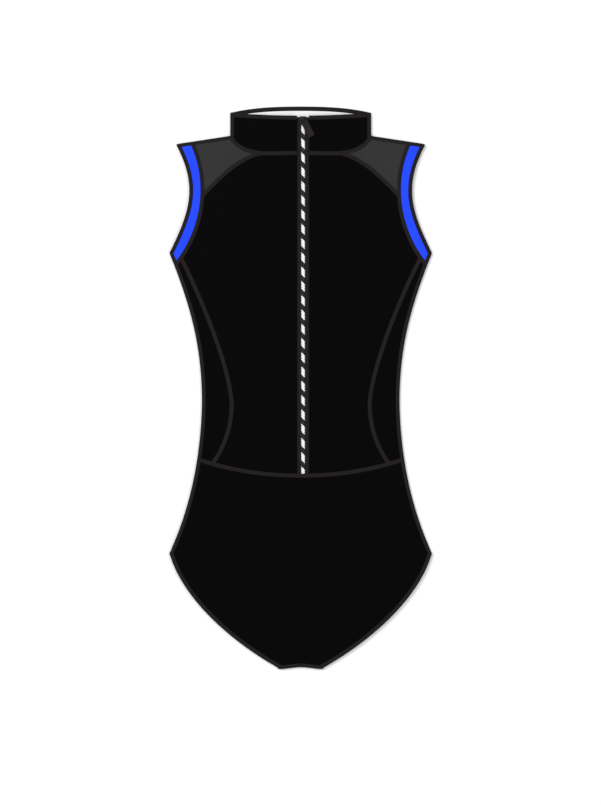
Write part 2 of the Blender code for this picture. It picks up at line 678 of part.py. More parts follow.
def build():
    black = material("Black knit", (0.008, 0.008, 0.009), 0.85)
    charcoal = material("Charcoal knit", (0.033, 0.033, 0.034), 0.85)
    blue = material("Blue knit", (0.022, 0.069, 1.0), 0.8)
    pale = material("Pale lining", (0.74, 0.75, 0.78), 0.85)
    tape = material("Zip tape", (0.017, 0.014, 0.014), 0.8)
    teeth = material("Zip teeth", (0.85, 0.85, 0.85), 0.4)
    metal = material("Slider metal", (0.12, 0.12, 0.12), 0.35, 1.0)
    rubber = material("Pull tab", (0.017, 0.014, 0.014), 0.5)

    lines = seam_lines()
    cloth_piece("back", back(lines), CLOTH, black, half=True)
    cloth_piece("brief_front", brief_front(lines), CLOTH, black, half=True)
    cloth_piece("front_left", front_piece(lines, LEFT), CLOTH, black)
    cloth_piece("front_right", mirrored(front_piece(lines, RIGHT)), CLOTH, black)
    for name, rows, finish in (
        ("side_panel", side_panel(lines), black),
        ("yoke", yoke(lines), charcoal),
        ("armhole_band", band(lines), blue),
    ):
        cloth_piece(f"{name}_left", rows, CLOTH, finish)
        cloth_piece(f"{name}_right", mirrored(rows), CLOTH, finish)
    cloth_piece("collar", collar(lines), CLOTH, black)
    cloth_piece("collar_lining", collar_lining(), LINING, pale, half=True)

    waist_y = WAIST_SEAM[3][1]
    inner = CHAIN_HALF_WIDTH + SEAM_GAP
    for name, low, high in (("left", inner, TAPE_HALF_WIDTH), ("right", -TAPE_HALF_WIDTH, -inner)):
        rows = strip(ZIP_X + low, ZIP_X + high, waist_y - TAPE_TAIL, TAPE_TOP_Y, TAPE_Z)
        cloth_piece(f"zip_tape_{name}", rows, TAPE, tape)
    rows = strip(ZIP_X - CHAIN_HALF_WIDTH, ZIP_X + CHAIN_HALF_WIDTH, waist_y + SEAM_GAP, CHAIN_TOP_Y, CHAIN_Z)
    cloth_piece("zip_chain", rows, CHAIN_THICK, teeth)
    zip_slider(metal)
    zip_pull(rubber)


for old in list(bpy.data.objects):
    bpy.data.objects.remove(old)
GARMENT = bpy.data.collections.new("Leotard")
HELPERS = bpy.data.collections.new("Helpers")
bpy.context.scene.collection.children.link(GARMENT)
bpy.context.scene.collection.children.link(HELPERS)
build()
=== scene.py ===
# %% [markdown]
# # A sleeveless leotard, laid out flat
#
# The garment lies on its back with its front up, as for a picture in a shop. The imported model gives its
# pieces as plain solids. This script gives each of them its cloth, its seams and its zip, in the same frame.
# The frame is in metres. The pattern below is in millimetres, as a cutter would write it.

# %% Load the frame
import math

import bmesh
import bpy
import numpy as np
from mathutils.kdtree import KDTree
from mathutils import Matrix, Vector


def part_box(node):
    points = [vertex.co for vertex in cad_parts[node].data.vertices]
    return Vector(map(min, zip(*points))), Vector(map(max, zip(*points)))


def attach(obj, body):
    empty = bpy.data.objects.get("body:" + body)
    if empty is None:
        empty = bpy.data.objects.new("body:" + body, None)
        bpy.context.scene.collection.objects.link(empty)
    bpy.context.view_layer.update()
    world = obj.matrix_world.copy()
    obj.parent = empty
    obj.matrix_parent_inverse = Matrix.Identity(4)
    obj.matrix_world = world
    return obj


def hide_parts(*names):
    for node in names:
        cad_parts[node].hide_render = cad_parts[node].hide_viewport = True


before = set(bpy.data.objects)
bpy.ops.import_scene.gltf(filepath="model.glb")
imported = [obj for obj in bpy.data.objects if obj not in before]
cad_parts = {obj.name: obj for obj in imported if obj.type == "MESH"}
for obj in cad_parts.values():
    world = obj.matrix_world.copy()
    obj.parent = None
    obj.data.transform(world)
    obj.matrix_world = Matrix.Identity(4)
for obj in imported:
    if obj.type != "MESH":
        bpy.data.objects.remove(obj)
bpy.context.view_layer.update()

MM = 0.001
BODY = "garment"

# %% [markdown]
# ## The pattern
#
# A stretch garment is cut from flat pieces, and each edge of a piece is one smooth curve. The left half is
# enough, because the right half is its mirror image. Each curve is a cubic with four points, (across, along),
# and two pieces that are sewn together share one curve, so they always fit.

# %% Curves of the left half
NECK_POINT = (89.3, 319.5)
SHOULDER_TIP = (158.4, 309.0)
UNDERARM = (166.5, 171.0)
HIP = (166.5, -210.0)
WAIST_SIDE = (125.3, -20.5)
CROTCH_CORNER = (25.5, -357.0)
PANEL_WAIST = (87.5, -20.5)
COLLAR_CORNER = (89.3, 349.0)
ARMHOLE_EDGE = (SHOULDER_TIP, (129.5, 255.0), (140.7, 223.5), UNDERARM)
BAND_SEAM = ((138.6, 312.0), (114.0, 262.0), (122.5, 199.0), (160.0, 154.6))
SIDE_UPPER = (UNDERARM, (139.8, 104.0), (125.0, 52.5), WAIST_SIDE)
SIDE_LOWER = (WAIST_SIDE, (126.7, -85.5), (139.0, -150.5), HIP)
LEG_EDGE = (HIP, (149.0, -272.0), (79.0, -328.0), CROTCH_CORNER)
CROTCH_EDGE = (CROTCH_CORNER, (17.0, -356.5), (8.0, -354.5), (0.0, -354.5))
PANEL_SEAM_UPPER = ((149.1, 164.8), (128.6, 120.0), (89.4, 26.0), PANEL_WAIST)
PANEL_SEAM_LOWER = (PANEL_WAIST, (87.3, -47.5), (95.7, -74.0), (112.1, -95.3))
WAIST_SEAM = ((131.7, -90.5), (89.4, -104.7), (44.5, -111.7), (0.0, -111.3))
YOKE_SEAM = ((49.1, 297.6), (78.8, 292.2), (104.1, 264.4), (124.3, 243.5))
NECK_FRONT = (NECK_POINT, (74.0, 288.0), (28.0, 299.5), (0.0, 297.2))
NECK_BACK = (NECK_POINT, (66.0, 314.5), (33.0, 313.0), (0.0, 313.0))
COLLAR_TOP_FRONT = (COLLAR_CORNER, (62.0, 346.2), (30.0, 344.9), (0.0, 344.9))
COLLAR_TOP_BACK = (COLLAR_CORNER, (59.7, 356.2), (29.5, 357.0), (0.0, 357.0))
print("pattern:", 2 * HIP[0], "mm wide,", COLLAR_TOP_BACK[3][1] - CROTCH_CORNER[1], "mm long")

# %% Sizes of the cloth and the zip, as in the solids
CLOTH = 1.2
LINING = 1.0
SEAM_GAP = 0.3
HALF_GAP = SEAM_GAP / 2
EDGE_HEIGHT = 3.6
EDGE_RADIUS = EDGE_HEIGHT / 2
EDGE_LAP = 0.6
BACK_INSET = EDGE_RADIUS + EDGE_LAP + SEAM_GAP
LOFT = 2.75
LOFT_SIDE_RUN = 60.0
LOFT_SHOULDER_RUN = 40.0
LOFT_CROTCH_RUN = 45.0
OPEN_EDGE_LOFT = 0.3
OPEN_EDGE_RUN = 25.0
COLLAR_HEM = 5.7
LINING_HALF_WIDTH = 78.0
LINING_ABOVE_SEAM = 2.0
ZIP_X = 3.0
ZIP_HALF_OPENING = 7.7
print("cloth:", CLOTH, "mm thick, with closed edges", EDGE_HEIGHT, "mm high")

# %% [markdown]
# ## Working with curves
#
# The cloth is far finer here than in the solids, so points are worked out many at a time with numpy. A
# curve is looked up in a dense table of its own points: quick, and exact to a thousandth of a millimetre.

# %% Points on a curve
SHARES = np.linspace(0.0, 1.0, 1001)


def mix(a, b, share):
    return a + (b - a) * share


def smooth(share):
    share = np.clip(share, 0.0, 1.0)
    return share * share * (3 - 2 * share)


def cubic(curve, t):
    """Points (n, 2) on a cubic curve, at t from 0 to 1."""
    a, b, c, d = (np.array(p, float) for p in curve)
    t = np.atleast_1d(t)[:, None]
    s = 1 - t
    return a * s**3 + 3 * b * s * s * t + 3 * c * s * t * t + d * t**3


def where(curve, measure, value):
    """The t at which measure(points) is value, on a curve along which it only rises or only falls."""
    found = measure(cubic(curve, SHARES))
    if found[-1] < found[0]:
        return float(np.interp(value, found[::-1], SHARES[::-1]))
    return float(np.interp(value, found, SHARES))


def at_x(curve, x):
    return where(curve, lambda p: p[:, 0], x)


def at_y(curve, y):
    return where(curve, lambda p: p[:, 1], y)


def point(curve, t):
    return tuple(cubic(curve, t)[0])


STRETCH_POINTS = 80


def stretch(curve, start=0.0, stop=1.0):
    """A dense line of points along part of a curve."""
    return cubic(curve, np.linspace(start, stop, STRETCH_POINTS))


def straight(a, b):
    return np.linspace(np.array(a, float), np.array(b, float), STRETCH_POINTS)


# %% Lengths and distances along a line


def curve_y(curve, x):
    """The y at each x, on a curve that runs from the side to the middle."""
    line = cubic(curve, SHARES)[::-1]
    return np.interp(x, line[:, 0], line[:, 1])


def step_lengths(points):
    return np.linalg.norm(np.diff(points, axis=0), axis=1)


def path_length(points):
    return float(step_lengths(points).sum())


def distances(points):
    """How far along its line each point is."""
    return np.concatenate([[0.0], np.cumsum(step_lengths(points))])


def at_distances(points, wanted):
    along = distances(points)
    return np.column_stack([np.interp(wanted, along, points[:, k]) for k in range(points.shape[1])])


def evenly(points, runs):
    """The same line with its points at equal distances."""
    return at_distances(points, np.linspace(0.0, path_length(points), runs + 1))


def left_of(steps):
    """For each step of a line, the unit vector to its left."""
    ahead = steps / np.linalg.norm(steps, axis=1)[:, None]
    return np.column_stack([-ahead[:, 1], ahead[:, 0]])


print("half of the neckline:", round(path_length(stretch(NECK_FRONT))), "mm")

# %% The outline, from the crotch up to the tip of the shoulder
EDGE = np.vstack([stretch(c)[::-1] for c in (LEG_EDGE, SIDE_LOWER, SIDE_UPPER, ARMHOLE_EDGE)])
SIDE = np.vstack([cubic(c, SHARES)[::-1] for c in (SIDE_LOWER, SIDE_UPPER)])


def edge_x(y):
    """Half the width of the garment at a height."""
    return np.interp(y, EDGE[:, 1], EDGE[:, 0])


def side_x(y):
    return np.interp(y, SIDE[:, 1], SIDE[:, 0])


def shoulder_y(x):
    (x0, y0), (x1, y1) = NECK_POINT, SHOULDER_TIP
    return mix(y0, y1, (x - x0) / (x1 - x0))


def side_depth(p):
    return side_x(p[:, 1]) - p[:, 0]


def shoulder_depth(p):
    return shoulder_y(p[:, 0]) - p[:, 1]


print("outline:", round(path_length(EDGE)), "mm from the crotch to the shoulder tip")

# %% [markdown]
# ## How high the cloth lies
#
# Two layers of cloth with a little air between them are lowest at their sewn edges and highest in the middle.
# One function gives that height for every piece of the front, so pieces meet at one height at their seams.

# %% Height of the front layer


def front_height(plan):
    x, y = np.abs(plan[..., 0]), plan[..., 1]
    above = smooth((y - UNDERARM[1]) / OPEN_EDGE_RUN)
    below = smooth((HIP[1] - y) / OPEN_EDGE_RUN)
    open_edge = np.maximum(above, below)
    across = mix(smooth((edge_x(y) - x) / LOFT_SIDE_RUN), 1.0, OPEN_EDGE_LOFT * open_edge)
    down = smooth((y - CROTCH_CORNER[1]) / LOFT_CROTCH_RUN)
    beside_neck = np.hypot(NECK_POINT[0] - x, np.maximum(NECK_POINT[1] - y, 0.0))
    top_distance = np.where(x >= NECK_POINT[0], shoulder_y(x) - y, beside_neck)
    up = smooth(top_distance / LOFT_SHOULDER_RUN)
    return EDGE_HEIGHT + LOFT * across * down * up


def on_floor(plan):
    return np.zeros(plan.shape[:-1])


print("height in the middle:", round(float(front_height(np.array([40.0, 100.0]))), 2), "mm")

# %% [markdown]
# ## Where the seams run
#
# The seams are named once, because three things need them: the edges of the pieces, the small dips that
# stitching pulls into the cloth, and the stitches themselves.

# %% Seams of the left half
T_FOLD = at_x(NECK_FRONT, NECK_POINT[0] - EDGE_RADIUS)
T_NECK_YOKE = at_x(NECK_FRONT, YOKE_SEAM[0][0])
T_SHOULDER_END = where(NECK_FRONT, shoulder_depth, EDGE_RADIUS)
T_BAND_TOP = where(BAND_SEAM, shoulder_depth, EDGE_RADIUS)
T_BAND_YOKE = at_y(BAND_SEAM, YOKE_SEAM[3][1])
T_BAND_PANEL = at_y(BAND_SEAM, PANEL_SEAM_UPPER[0][1])
T_BAND_END = where(BAND_SEAM, side_depth, EDGE_RADIUS)
T_BACK_TOP = where(BAND_SEAM, shoulder_depth, BACK_INSET)
T_BACK_END = where(BAND_SEAM, side_depth, BACK_INSET)
T_BACK_FOLD = at_x(NECK_BACK, NECK_POINT[0] - EDGE_RADIUS)
T_WAIST_PANEL = at_x(WAIST_SEAM, PANEL_SEAM_LOWER[3][0])
T_WAIST_SIDE = where(WAIST_SEAM, side_depth, EDGE_RADIUS)
YOKE_CURVE = (point(NECK_FRONT, T_NECK_YOKE), *YOKE_SEAM[1:3], point(BAND_SEAM, T_BAND_YOKE))
PANEL_UPPER = (point(BAND_SEAM, T_BAND_PANEL), *PANEL_SEAM_UPPER[1:])
PANEL_LOWER = (*PANEL_SEAM_LOWER[:3], point(WAIST_SEAM, T_WAIST_PANEL))

panel_seam = np.vstack([stretch(PANEL_UPPER), stretch(PANEL_LOWER)[1:]])
yoke_seam = stretch(YOKE_CURVE)
print("seams: panel", round(path_length(panel_seam)), "mm, yoke", round(path_length(yoke_seam)), "mm")

# %% [markdown]
# ## Creases and seam dips
#
# Laid-out stretch cloth is nearly smooth. It keeps a few soft drag lines, from the underarms, at the waist
# and towards the crotch, and a seam draws the cloth down beside it into small puckers. Each drag line is a
# row of a table, in millimetres: a ridge has a height above nought, and a trough one below it.

# %% Drag lines, dips and puckers
CREASES = (
    # from x, from y, to x, to y, half width, height
    (128, 150, 62, 96, 9, 0.50),
    (-126, 158, -58, 112, 10, 0.42),
    (118, 128, 70, 70, 7, -0.30),
    (-120, 136, -78, 66, 8, -0.34),
    (104, 4, 34, -8, 8, 0.45),
    (-108, -16, -30, -2, 9, 0.40),
    (98, -34, 46, -40, 6, -0.28),
    (-96, -44, -40, -58, 7, -0.30),
    (112, -132, 40, -170, 11, 0.46),
    (-118, -140, -52, -168, 10, 0.38),
    (70, -232, 18, -318, 9, 0.42),
    (-64, -240, -20, -312, 8, 0.36),
    (30, -150, -26, -166, 12, -0.34),
    (60, 232, 26, 176, 10, 0.30),
    (-70, 226, -32, 188, 9, 0.26),
)
CREASE_SCALE = 1.6
CREASE_FULL = 1.4
SEAM_DIP = 0.35
SEAM_DIP_RUN = 4.0
PUCKER = 0.13
PUCKER_RUN = 9.0
PUCKER_PITCH = 11.0
PUCKER_SHIFT = PUCKER_PITCH / 3
LONG_WAVE = 1.7
LONG_WAVE_SHARE = 0.5
EDGE_CALM = 10.0
ZIP_CALM = 15.0
print("creases:", len(CREASES), "drag lines")

# %% Points along the seams
dipped = [
    stretch(NECK_FRONT, T_FOLD, 1.0),
    yoke_seam,
    panel_seam,
    stretch(WAIST_SEAM, T_WAIST_SIDE, 1.0),
    stretch(BAND_SEAM, T_BAND_TOP, T_BAND_END),
]
SEAM_STEP = 1.0
seam_points = []
for line in dipped:
    spaced = evenly(line, int(path_length(line) / SEAM_STEP))
    seam_points += [(x, y, i * SEAM_STEP) for i, (x, y) in enumerate(spaced)]
seam_tree = KDTree(len(seam_points))
for i, (x, y, _) in enumerate(seam_points):
    seam_tree.insert((x, y, 0.0), i)
seam_tree.balance()
print("seams looked up from", len(seam_points), "points")

# %% Relief of the front layer


def crease(plan, row):
    """One drag line, highest in its middle and fading to both ends."""
    x0, y0, x1, y1, half_width, height = row
    start, run = np.array([x0, y0], float), np.array([x1 - x0, y1 - y0], float)
    along = (((plan - start) @ run) / (run @ run)).clip(0.0, 1.0)
    foot = start + along[..., None] * run
    across = np.linalg.norm(plan - foot, axis=-1) / half_width
    fade = smooth(CREASE_FULL * np.sin(np.pi * along))
    return CREASE_SCALE * height * np.exp(-across * across) * fade


def seam_relief(plan):
    """The dip and the puckers beside the nearest seam. The right half's are shifted from the left's."""
    flat = plan.reshape(-1, 2)
    near = [seam_tree.find((abs(x), y, 0.0)) for x, y in flat]
    distance = np.array([n[2] for n in near])
    along = np.array([seam_points[n[1]][2] for n in near]) + PUCKER_SHIFT * (flat[:, 0] < 0)
    turns = 2 * np.pi * along / PUCKER_PITCH
    wave = np.sin(turns) + LONG_WAVE_SHARE * np.sin(turns / LONG_WAVE)
    dip = -SEAM_DIP * np.exp(-((distance / SEAM_DIP_RUN) ** 2))
    pucker = PUCKER * wave * np.exp(-((distance / PUCKER_RUN) ** 2))
    return (dip + pucker).reshape(plan.shape[:-1])


def relief(plan):
    """Creases, dips and puckers, which die away at the edges and beside the zip."""
    x, y = np.abs(plan[..., 0]), plan[..., 1]
    total = seam_relief(plan) + sum(crease(plan, row) for row in CREASES)
    at_edge = smooth((edge_x(y) - x - EDGE_RADIUS) / EDGE_CALM)
    beside_zip = (np.abs(plan[..., 0] - ZIP_X) - ZIP_HALF_OPENING) / ZIP_CALM
    at_zip = smooth(beside_zip + (y < WAIST_SEAM[3][1]))
    shoulder = np.where(x >= NECK_POINT[0], shoulder_y(x) - y, EDGE_CALM)
    return total * at_edge * at_zip * smooth((shoulder - EDGE_RADIUS) / EDGE_CALM)


def front_cloth(plan):
    return front_height(plan) + relief(plan)


first_middle = (np.array(CREASES[0][:2]) + CREASES[0][2:4]) / 2
print("relief on the first drag line:", round(float(relief(first_middle)), 2), "mm")

# %% [markdown]
# ## A cloth piece between four sides
#
# A piece of cloth can be filled in between its four sides: each row blends the bottom into the top, and the
# two ends keep it on the left and right sides. Each side keeps its own gap to the next piece. Rows and
# columns are spaced evenly, so the weave and the light run evenly across the piece.

# %% Fill a piece from its sides
CELL = 2.4
NEARLY_STRAIGHT = 0.1


def seam(points):
    return (points, HALF_GAP)


def free(points):
    return (points, 0.0)


def inset(sides):
    """Moves each stretch of four sides, which run anticlockwise, inwards by its gap."""
    stretches = [part for side in sides for part in side]
    loop = np.vstack([points[:-1] for points, _ in stretches])
    gaps = np.concatenate([np.full(len(points) - 1, gap) for points, gap in stretches])
    after = left_of(np.roll(loop, -1, axis=0) - loop)
    before, gap_before = np.roll(after, 1, axis=0), np.roll(gaps, 1)
    turn = before[:, 0] * after[:, 1] - before[:, 1] * after[:, 0]
    level = np.abs(turn) < NEARLY_STRAIGHT
    both = before + after
    both /= np.linalg.norm(both, axis=1)[:, None]
    sharp = np.where(level, 1.0, turn)
    corner_x = (gap_before * after[:, 1] - gaps * before[:, 1]) / sharp
    corner_y = (gaps * before[:, 0] - gap_before * after[:, 0]) / sharp
    corner = np.column_stack([corner_x, corner_y])
    moved = loop + np.where(level[:, None], both * np.maximum(gap_before, gaps)[:, None], corner)
    result, start = [], 0
    for side in sides:
        parts = []
        for points, _ in side:
            stop = start + len(points) - 1
            parts.append(moved[np.arange(start, stop + 1) % len(moved)])
            start = stop
        result.append(parts)
    return result


def spread(parts, runs):
    """The points of a side, shared out over its stretches so that their corners stay."""
    lengths = np.array([path_length(p) for p in parts])
    counts = np.maximum(np.round(lengths / lengths.sum() * runs).astype(int), 1)
    counts[np.argmax(counts)] += runs - counts.sum()
    lines = [evenly(p, n) for p, n in zip(parts, counts)]
    return np.vstack([lines[0]] + [line[1:] for line in lines[1:]])


# %% Rows of points between four sides


def cells(side, opposite, cell):
    """How many cells fit along the longer of two sides."""
    return math.ceil(max(sum(map(path_length, parts)) for parts in (side, opposite)) / cell)


def patch(bottom, right, top, left, height, cell=CELL):
    """Rows of points (rows, columns, 3) between four sides that run anticlockwise."""
    bottom, right, top, left = inset((bottom, right, top, left))
    across, up = cells(bottom, top, cell), cells(left, right, cell)
    bottom, top = spread(bottom, across), spread(top, across)[::-1]
    right, left = spread(right, up), spread(left, up)[::-1]
    u = np.linspace(0, 1, across + 1)[None, :, None]
    v = np.linspace(0, 1, up + 1)[:, None, None]
    corners = mix(mix(bottom[0], bottom[-1], u), mix(top[0], top[-1], u), v)
    plan = mix(bottom[None], top[None], v) + mix(left[:, None], right[:, None], u) - corners
    return np.dstack([plan, height(plan)])


print("cloth cells:", CELL, "mm")

# %% Turn the cloth round a closed edge
FOLD_STEPS = 8


def fold(edge, outwards, share=1.0, lap=True):
    """Points (n, steps, 3) that carry the cloth round a closed edge. With share 0 it runs on flat."""
    angle = np.pi * np.arange(1, FOLD_STEPS + lap) / FOLD_STEPS
    out, z = EDGE_RADIUS * np.sin(angle), EDGE_RADIUS * (1 + np.cos(angle))
    if lap:
        out, z = np.append(out, -EDGE_LAP), np.append(z, 0.0)
    level = EDGE_RADIUS * np.arange(1, len(out) + 1) / len(out)
    share = np.broadcast_to(np.asarray(share, float), (len(edge),))[:, None]
    outwards = np.broadcast_to(np.asarray(outwards, float), (len(edge), 2))
    out, z = mix(level, out, share), mix(edge[:, 2:3], z, share)
    plan = edge[:, None, :2] + outwards[:, None] * out[..., None]
    return np.dstack([plan, z])


def fold_right(rows, share=1.0):
    return np.concatenate([rows, fold(rows[:, -1], (1.0, 0.0), share)], axis=1)


def fold_top(rows):
    return np.concatenate([rows, fold(rows[-1], (0.0, 1.0)).transpose(1, 0, 2)])


def fold_bottom(rows):
    return np.concatenate([fold(rows[0], (0.0, -1.0)).transpose(1, 0, 2)[::-1], rows])


def mirrored(rows):
    return rows[:, ::-1] * np.array([-1.0, 1.0, 1.0])


def whole(half):
    """Both halves of a piece whose left half starts at the middle."""
    return np.concatenate([mirrored(half)[:, :-1], half], axis=1)


print("closed edges:", FOLD_STEPS, "steps round a radius of", EDGE_RADIUS, "mm")

# %% [markdown]
# ## Colours that are built from arithmetic
#
# A finish is a small sum: so much of one colour, a little darker in the grooves as painted shade, a
# little rougher where the knit is open. This class wraps a socket so that the sum can be written as one,
# and each sign adds its node.

# %% Node arithmetic


class Wire:
    """A socket in a node tree. Arithmetic on it adds Math nodes, and add() adds any other node."""

    def __init__(self, tree, socket):
        self.tree, self.socket = tree, socket

    def add(self, kind, settings=None, inputs=None, output=0):
        """One more node: its settings come first, and then its sockets' values or links."""
        node = self.tree.nodes.new(kind)
        for name, value in (settings or {}).items():
            setattr(node, name, value)
        for name, value in (inputs or {}).items():
            plug(self.tree, node.inputs[name], value)
        return Wire(self.tree, node.outputs[output])

    def out(self, output):
        """Another output of the same node."""
        return Wire(self.tree, self.socket.node.outputs[output])

    def math(self, operation, other=None, first=None):
        values = {0: self if first is None else first}
        if other is not None:
            values[1] = other
        return self.add("ShaderNodeMath", {"operation": operation}, values)

    def __add__(self, other):
        return self.math("ADD", other)

    __radd__ = __add__

    def __mul__(self, other):
        return self.math("MULTIPLY", other)

    __rmul__ = __mul__

    def __sub__(self, other):
        return self.math("SUBTRACT", other)

    def __rsub__(self, other):
        return self.math("SUBTRACT", self, first=other)

    def __truediv__(self, other):
        return self.math("DIVIDE", other)

    def __rtruediv__(self, other):
        return self.math("DIVIDE", self, first=other)


# %% Small helpers for finishes


def plug(tree, target, value):
    if isinstance(value, Wire):
        tree.links.new(value.socket, target)
    else:
        target.default_value = value


def axes(place):
    """The x, y and z of a vector wire."""
    split = place.add("ShaderNodeSeparateXYZ", inputs={0: place})
    return split, split.out(1), split.out(2)


def noise(place, scale, detail=2.0):
    return place.add("ShaderNodeTexNoise", inputs={"Vector": place, "Scale": scale, "Detail": detail})


def blend(share, a, b):
    """A colour between two, by a wire from 0 to 1. Inputs 6 and 7 of a Mix node are its colours."""
    settings = {"data_type": "RGBA", "blend_type": "MIX"}
    return share.add("ShaderNodeMix", settings, {0: share, 6: (*a, 1.0), 7: (*b, 1.0)}, output=2)


def start_finish(name, roughness, specular=0.5, metallic=0.0, sheen=0.0):
    """A new material, its shader's inputs and the place on the piece."""
    made = bpy.data.materials.new(name)
    made.use_nodes = True
    tree = made.node_tree
    shader = tree.nodes["Principled BSDF"].inputs
    shader["Roughness"].default_value = roughness
    shader["Specular IOR Level"].default_value = specular
    shader["Metallic"].default_value = metallic
    shader["Sheen Weight"].default_value = sheen
    coordinates = tree.nodes.new("ShaderNodeTexCoord")
    return made, shader, Wire(tree, coordinates.outputs["Object"])


def bump(height, shader, distance, strength):
    values = {"Height": height, "Distance": distance, "Strength": strength}
    plug(height.tree, shader["Normal"], height.add("ShaderNodeBump", inputs=values))


def shade(tone, colour, dark, light):
    """A colour that goes from dark to light times itself."""
    return blend(tone, [c * dark for c in colour], [c * light for c in colour])


# %% [markdown]
# ## Finishes
#
# The cloth is a fine matt stretch knit. Seen close, a knit is columns of small V shapes: across a column the
# thread leans one way and then the other, so its height is a wave that is shifted by the distance from the
# column's middle. Black cloth gets its form from sheen rather than from colour, so it has a little of it.

# %% Knit cloth
WALE = 0.0011
COURSE = 0.0008
LEAN = 0.9
LOOP_SHARE = 0.6
GROOVE_SHADE_SHARE = 0.55
KNIT_ROUGHNESS = 0.9
TAU = 2 * math.pi


def slanted(place, rib, pitch, lean):
    """A wave that slants both ways from the middle of each rib, and the distance from that middle."""
    x, y, _ = axes(place)
    side = ((x / rib).math("FRACT") - 0.5).math("ABSOLUTE")
    return ((y / pitch + side * lean) * TAU).math("SINE") * 0.5 + 0.5, side


def around(wire, middle, spread):
    """A number that stays within half its spread of the middle."""
    return wire * spread + (middle - spread / 2)


def knit(name, colour, sheen=0.008):
    made, shader, place = start_finish(name, KNIT_ROUGHNESS, specular=0.03, sheen=sheen)
    loops, side = slanted(place, WALE, COURSE, LEAN)
    height = loops * LOOP_SHARE + (1 - side * 2) * (1 - LOOP_SHARE)
    patchy = noise(place, scale=28.0, detail=3.0)
    # The colour is partly painted shade, darker where the knit is low, and partly random patches of tone.
    tone = height * GROOVE_SHADE_SHARE + patchy * (1 - GROOVE_SHADE_SHARE)
    plug(place.tree, shader["Base Color"], shade(tone, colour, dark=0.62, light=1.35))
    plug(place.tree, shader["Roughness"], around(patchy, KNIT_ROUGHNESS, spread=0.12))
    bump(height, shader, distance=0.00012, strength=0.5)
    return made


BLACK = knit("Black knit", (0.0016, 0.0016, 0.0018))
CHARCOAL = knit("Charcoal knit", (0.030, 0.030, 0.030))
BLUE = knit("Blue knit", (0.018, 0.062, 1.0))
LINING_KNIT = knit("Pale lining", (0.76, 0.765, 0.775), sheen=0.02)
print("knits:", len(bpy.data.materials), "of", len(BLACK.node_tree.nodes), "nodes each")

# %% [markdown]
# The drawn lines of the garment are its flat seams. Their thread is a dark charcoal, a little lighter than
# the cloth, with the faint gloss of polyester. Tape is woven in a herringbone, which is two slanted waves
# that change over at each rib.

# %% Thread and tape
LINE_COLOUR = (0.0168, 0.0137, 0.0144)
RIB = 0.0016
TWILL = 0.0009


def thread():
    made, shader, place = start_finish("Seam thread", 0.75, specular=0.04)
    fuzz = noise(place, scale=900.0)
    plug(place.tree, shader["Base Color"], shade(fuzz, LINE_COLOUR, dark=0.7, light=1.1))
    bump(fuzz, shader, distance=0.00005, strength=0.4)
    return made


def woven_tape():
    made, shader, place = start_finish("Woven zip tape", 0.85, specular=0.04)
    twill, _ = slanted(place, RIB, TWILL, lean=2)
    # The colour follows the twill's height: painted shade in the low parts of the weave.
    plug(place.tree, shader["Base Color"], shade(twill, LINE_COLOUR, dark=0.65, light=1.15))
    bump(twill, shader, distance=0.0001, strength=0.5)
    return made


THREAD = thread()
TAPE = woven_tape()
print("tape:", round(RIB / MM, 1), "mm ribs")

# %% [markdown]
# The teeth are moulded in two colours, and the change of colour slants across the chain. It is a ramp that
# starts again at each dash, cut at a share of its length. The slider is dark metal, the pull tab soft rubber.

# %% Teeth, metal and rubber
DASH_PITCH = 18.1 * MM
DASH_SHARE = 0.55
DASH_START = -111.8 * MM
DASH_SLOPE = 1.0
WHITE = (0.93, 0.93, 0.93)


def two_colour_teeth():
    made, shader, place = start_finish("Zip teeth", 0.4, specular=0.25)
    x, y, _ = axes(place)
    cycle = ((y + x * DASH_SLOPE - (DASH_START + ZIP_X * MM * DASH_SLOPE)) / DASH_PITCH).math("FRACT")
    plug(place.tree, shader["Base Color"], blend(cycle.math("LESS_THAN", DASH_SHARE), LINE_COLOUR, WHITE))
    plug(place.tree, shader["Roughness"], around(noise(place, scale=700.0), middle=0.38, spread=0.1))
    return made


def plain_hard(name, colour, roughness, specular=0.5, metallic=0.0):
    made, shader, place = start_finish(name, roughness, specular, metallic)
    grain = noise(place, scale=600.0, detail=4.0)
    plug(place.tree, shader["Base Color"], shade(grain, colour, dark=0.85, light=1.15))
    plug(place.tree, shader["Roughness"], around(grain, roughness, spread=0.2))
    bump(grain, shader, distance=0.00003, strength=0.3)
    return made


TEETH = two_colour_teeth()
METAL = plain_hard("Slider metal", (0.03, 0.03, 0.03), 0.36, metallic=1.0)
RUBBER = plain_hard("Pull tab", LINE_COLOUR, 0.6, specular=0.06)
print("finishes:", len(bpy.data.materials))

# %% [markdown]
# ## From points to cloth
#
# The rows become a mesh, Solidify gives it the cloth's thickness on its inner side, and the result is baked
# to a plain mesh. What the sheet is said to be cut to is measured on the piece itself: its longest row, its
# longest column, and the area of its outer face.

# %% Meshes and objects
MERGE = 0.00001
SHARP = math.radians(50)


def grid_mesh(name, rows, finishes=(), marked=None):
    """Rows of points as a mesh. The marked cells get the second finish."""
    lines, columns = rows.shape[:2]
    index = np.arange(lines * columns).reshape(lines, columns)
    corners = (index[:-1, :-1], index[:-1, 1:], index[1:, 1:], index[1:, :-1])
    faces = np.stack([c.ravel() for c in corners], axis=1)
    mesh = bpy.data.meshes.new(name)
    mesh.from_pydata((rows.reshape(-1, 3) * MM).tolist(), [], faces.tolist())
    for finish in finishes:
        mesh.materials.append(finish)
    if marked is not None:
        mesh.polygons.foreach_set("material_index", marked.astype(np.int32).ravel())
    bm = bmesh.new()
    bm.from_mesh(mesh)
    bmesh.ops.remove_doubles(bm, verts=bm.verts, dist=MERGE)
    bm.to_mesh(mesh)
    bm.free()
    return mesh


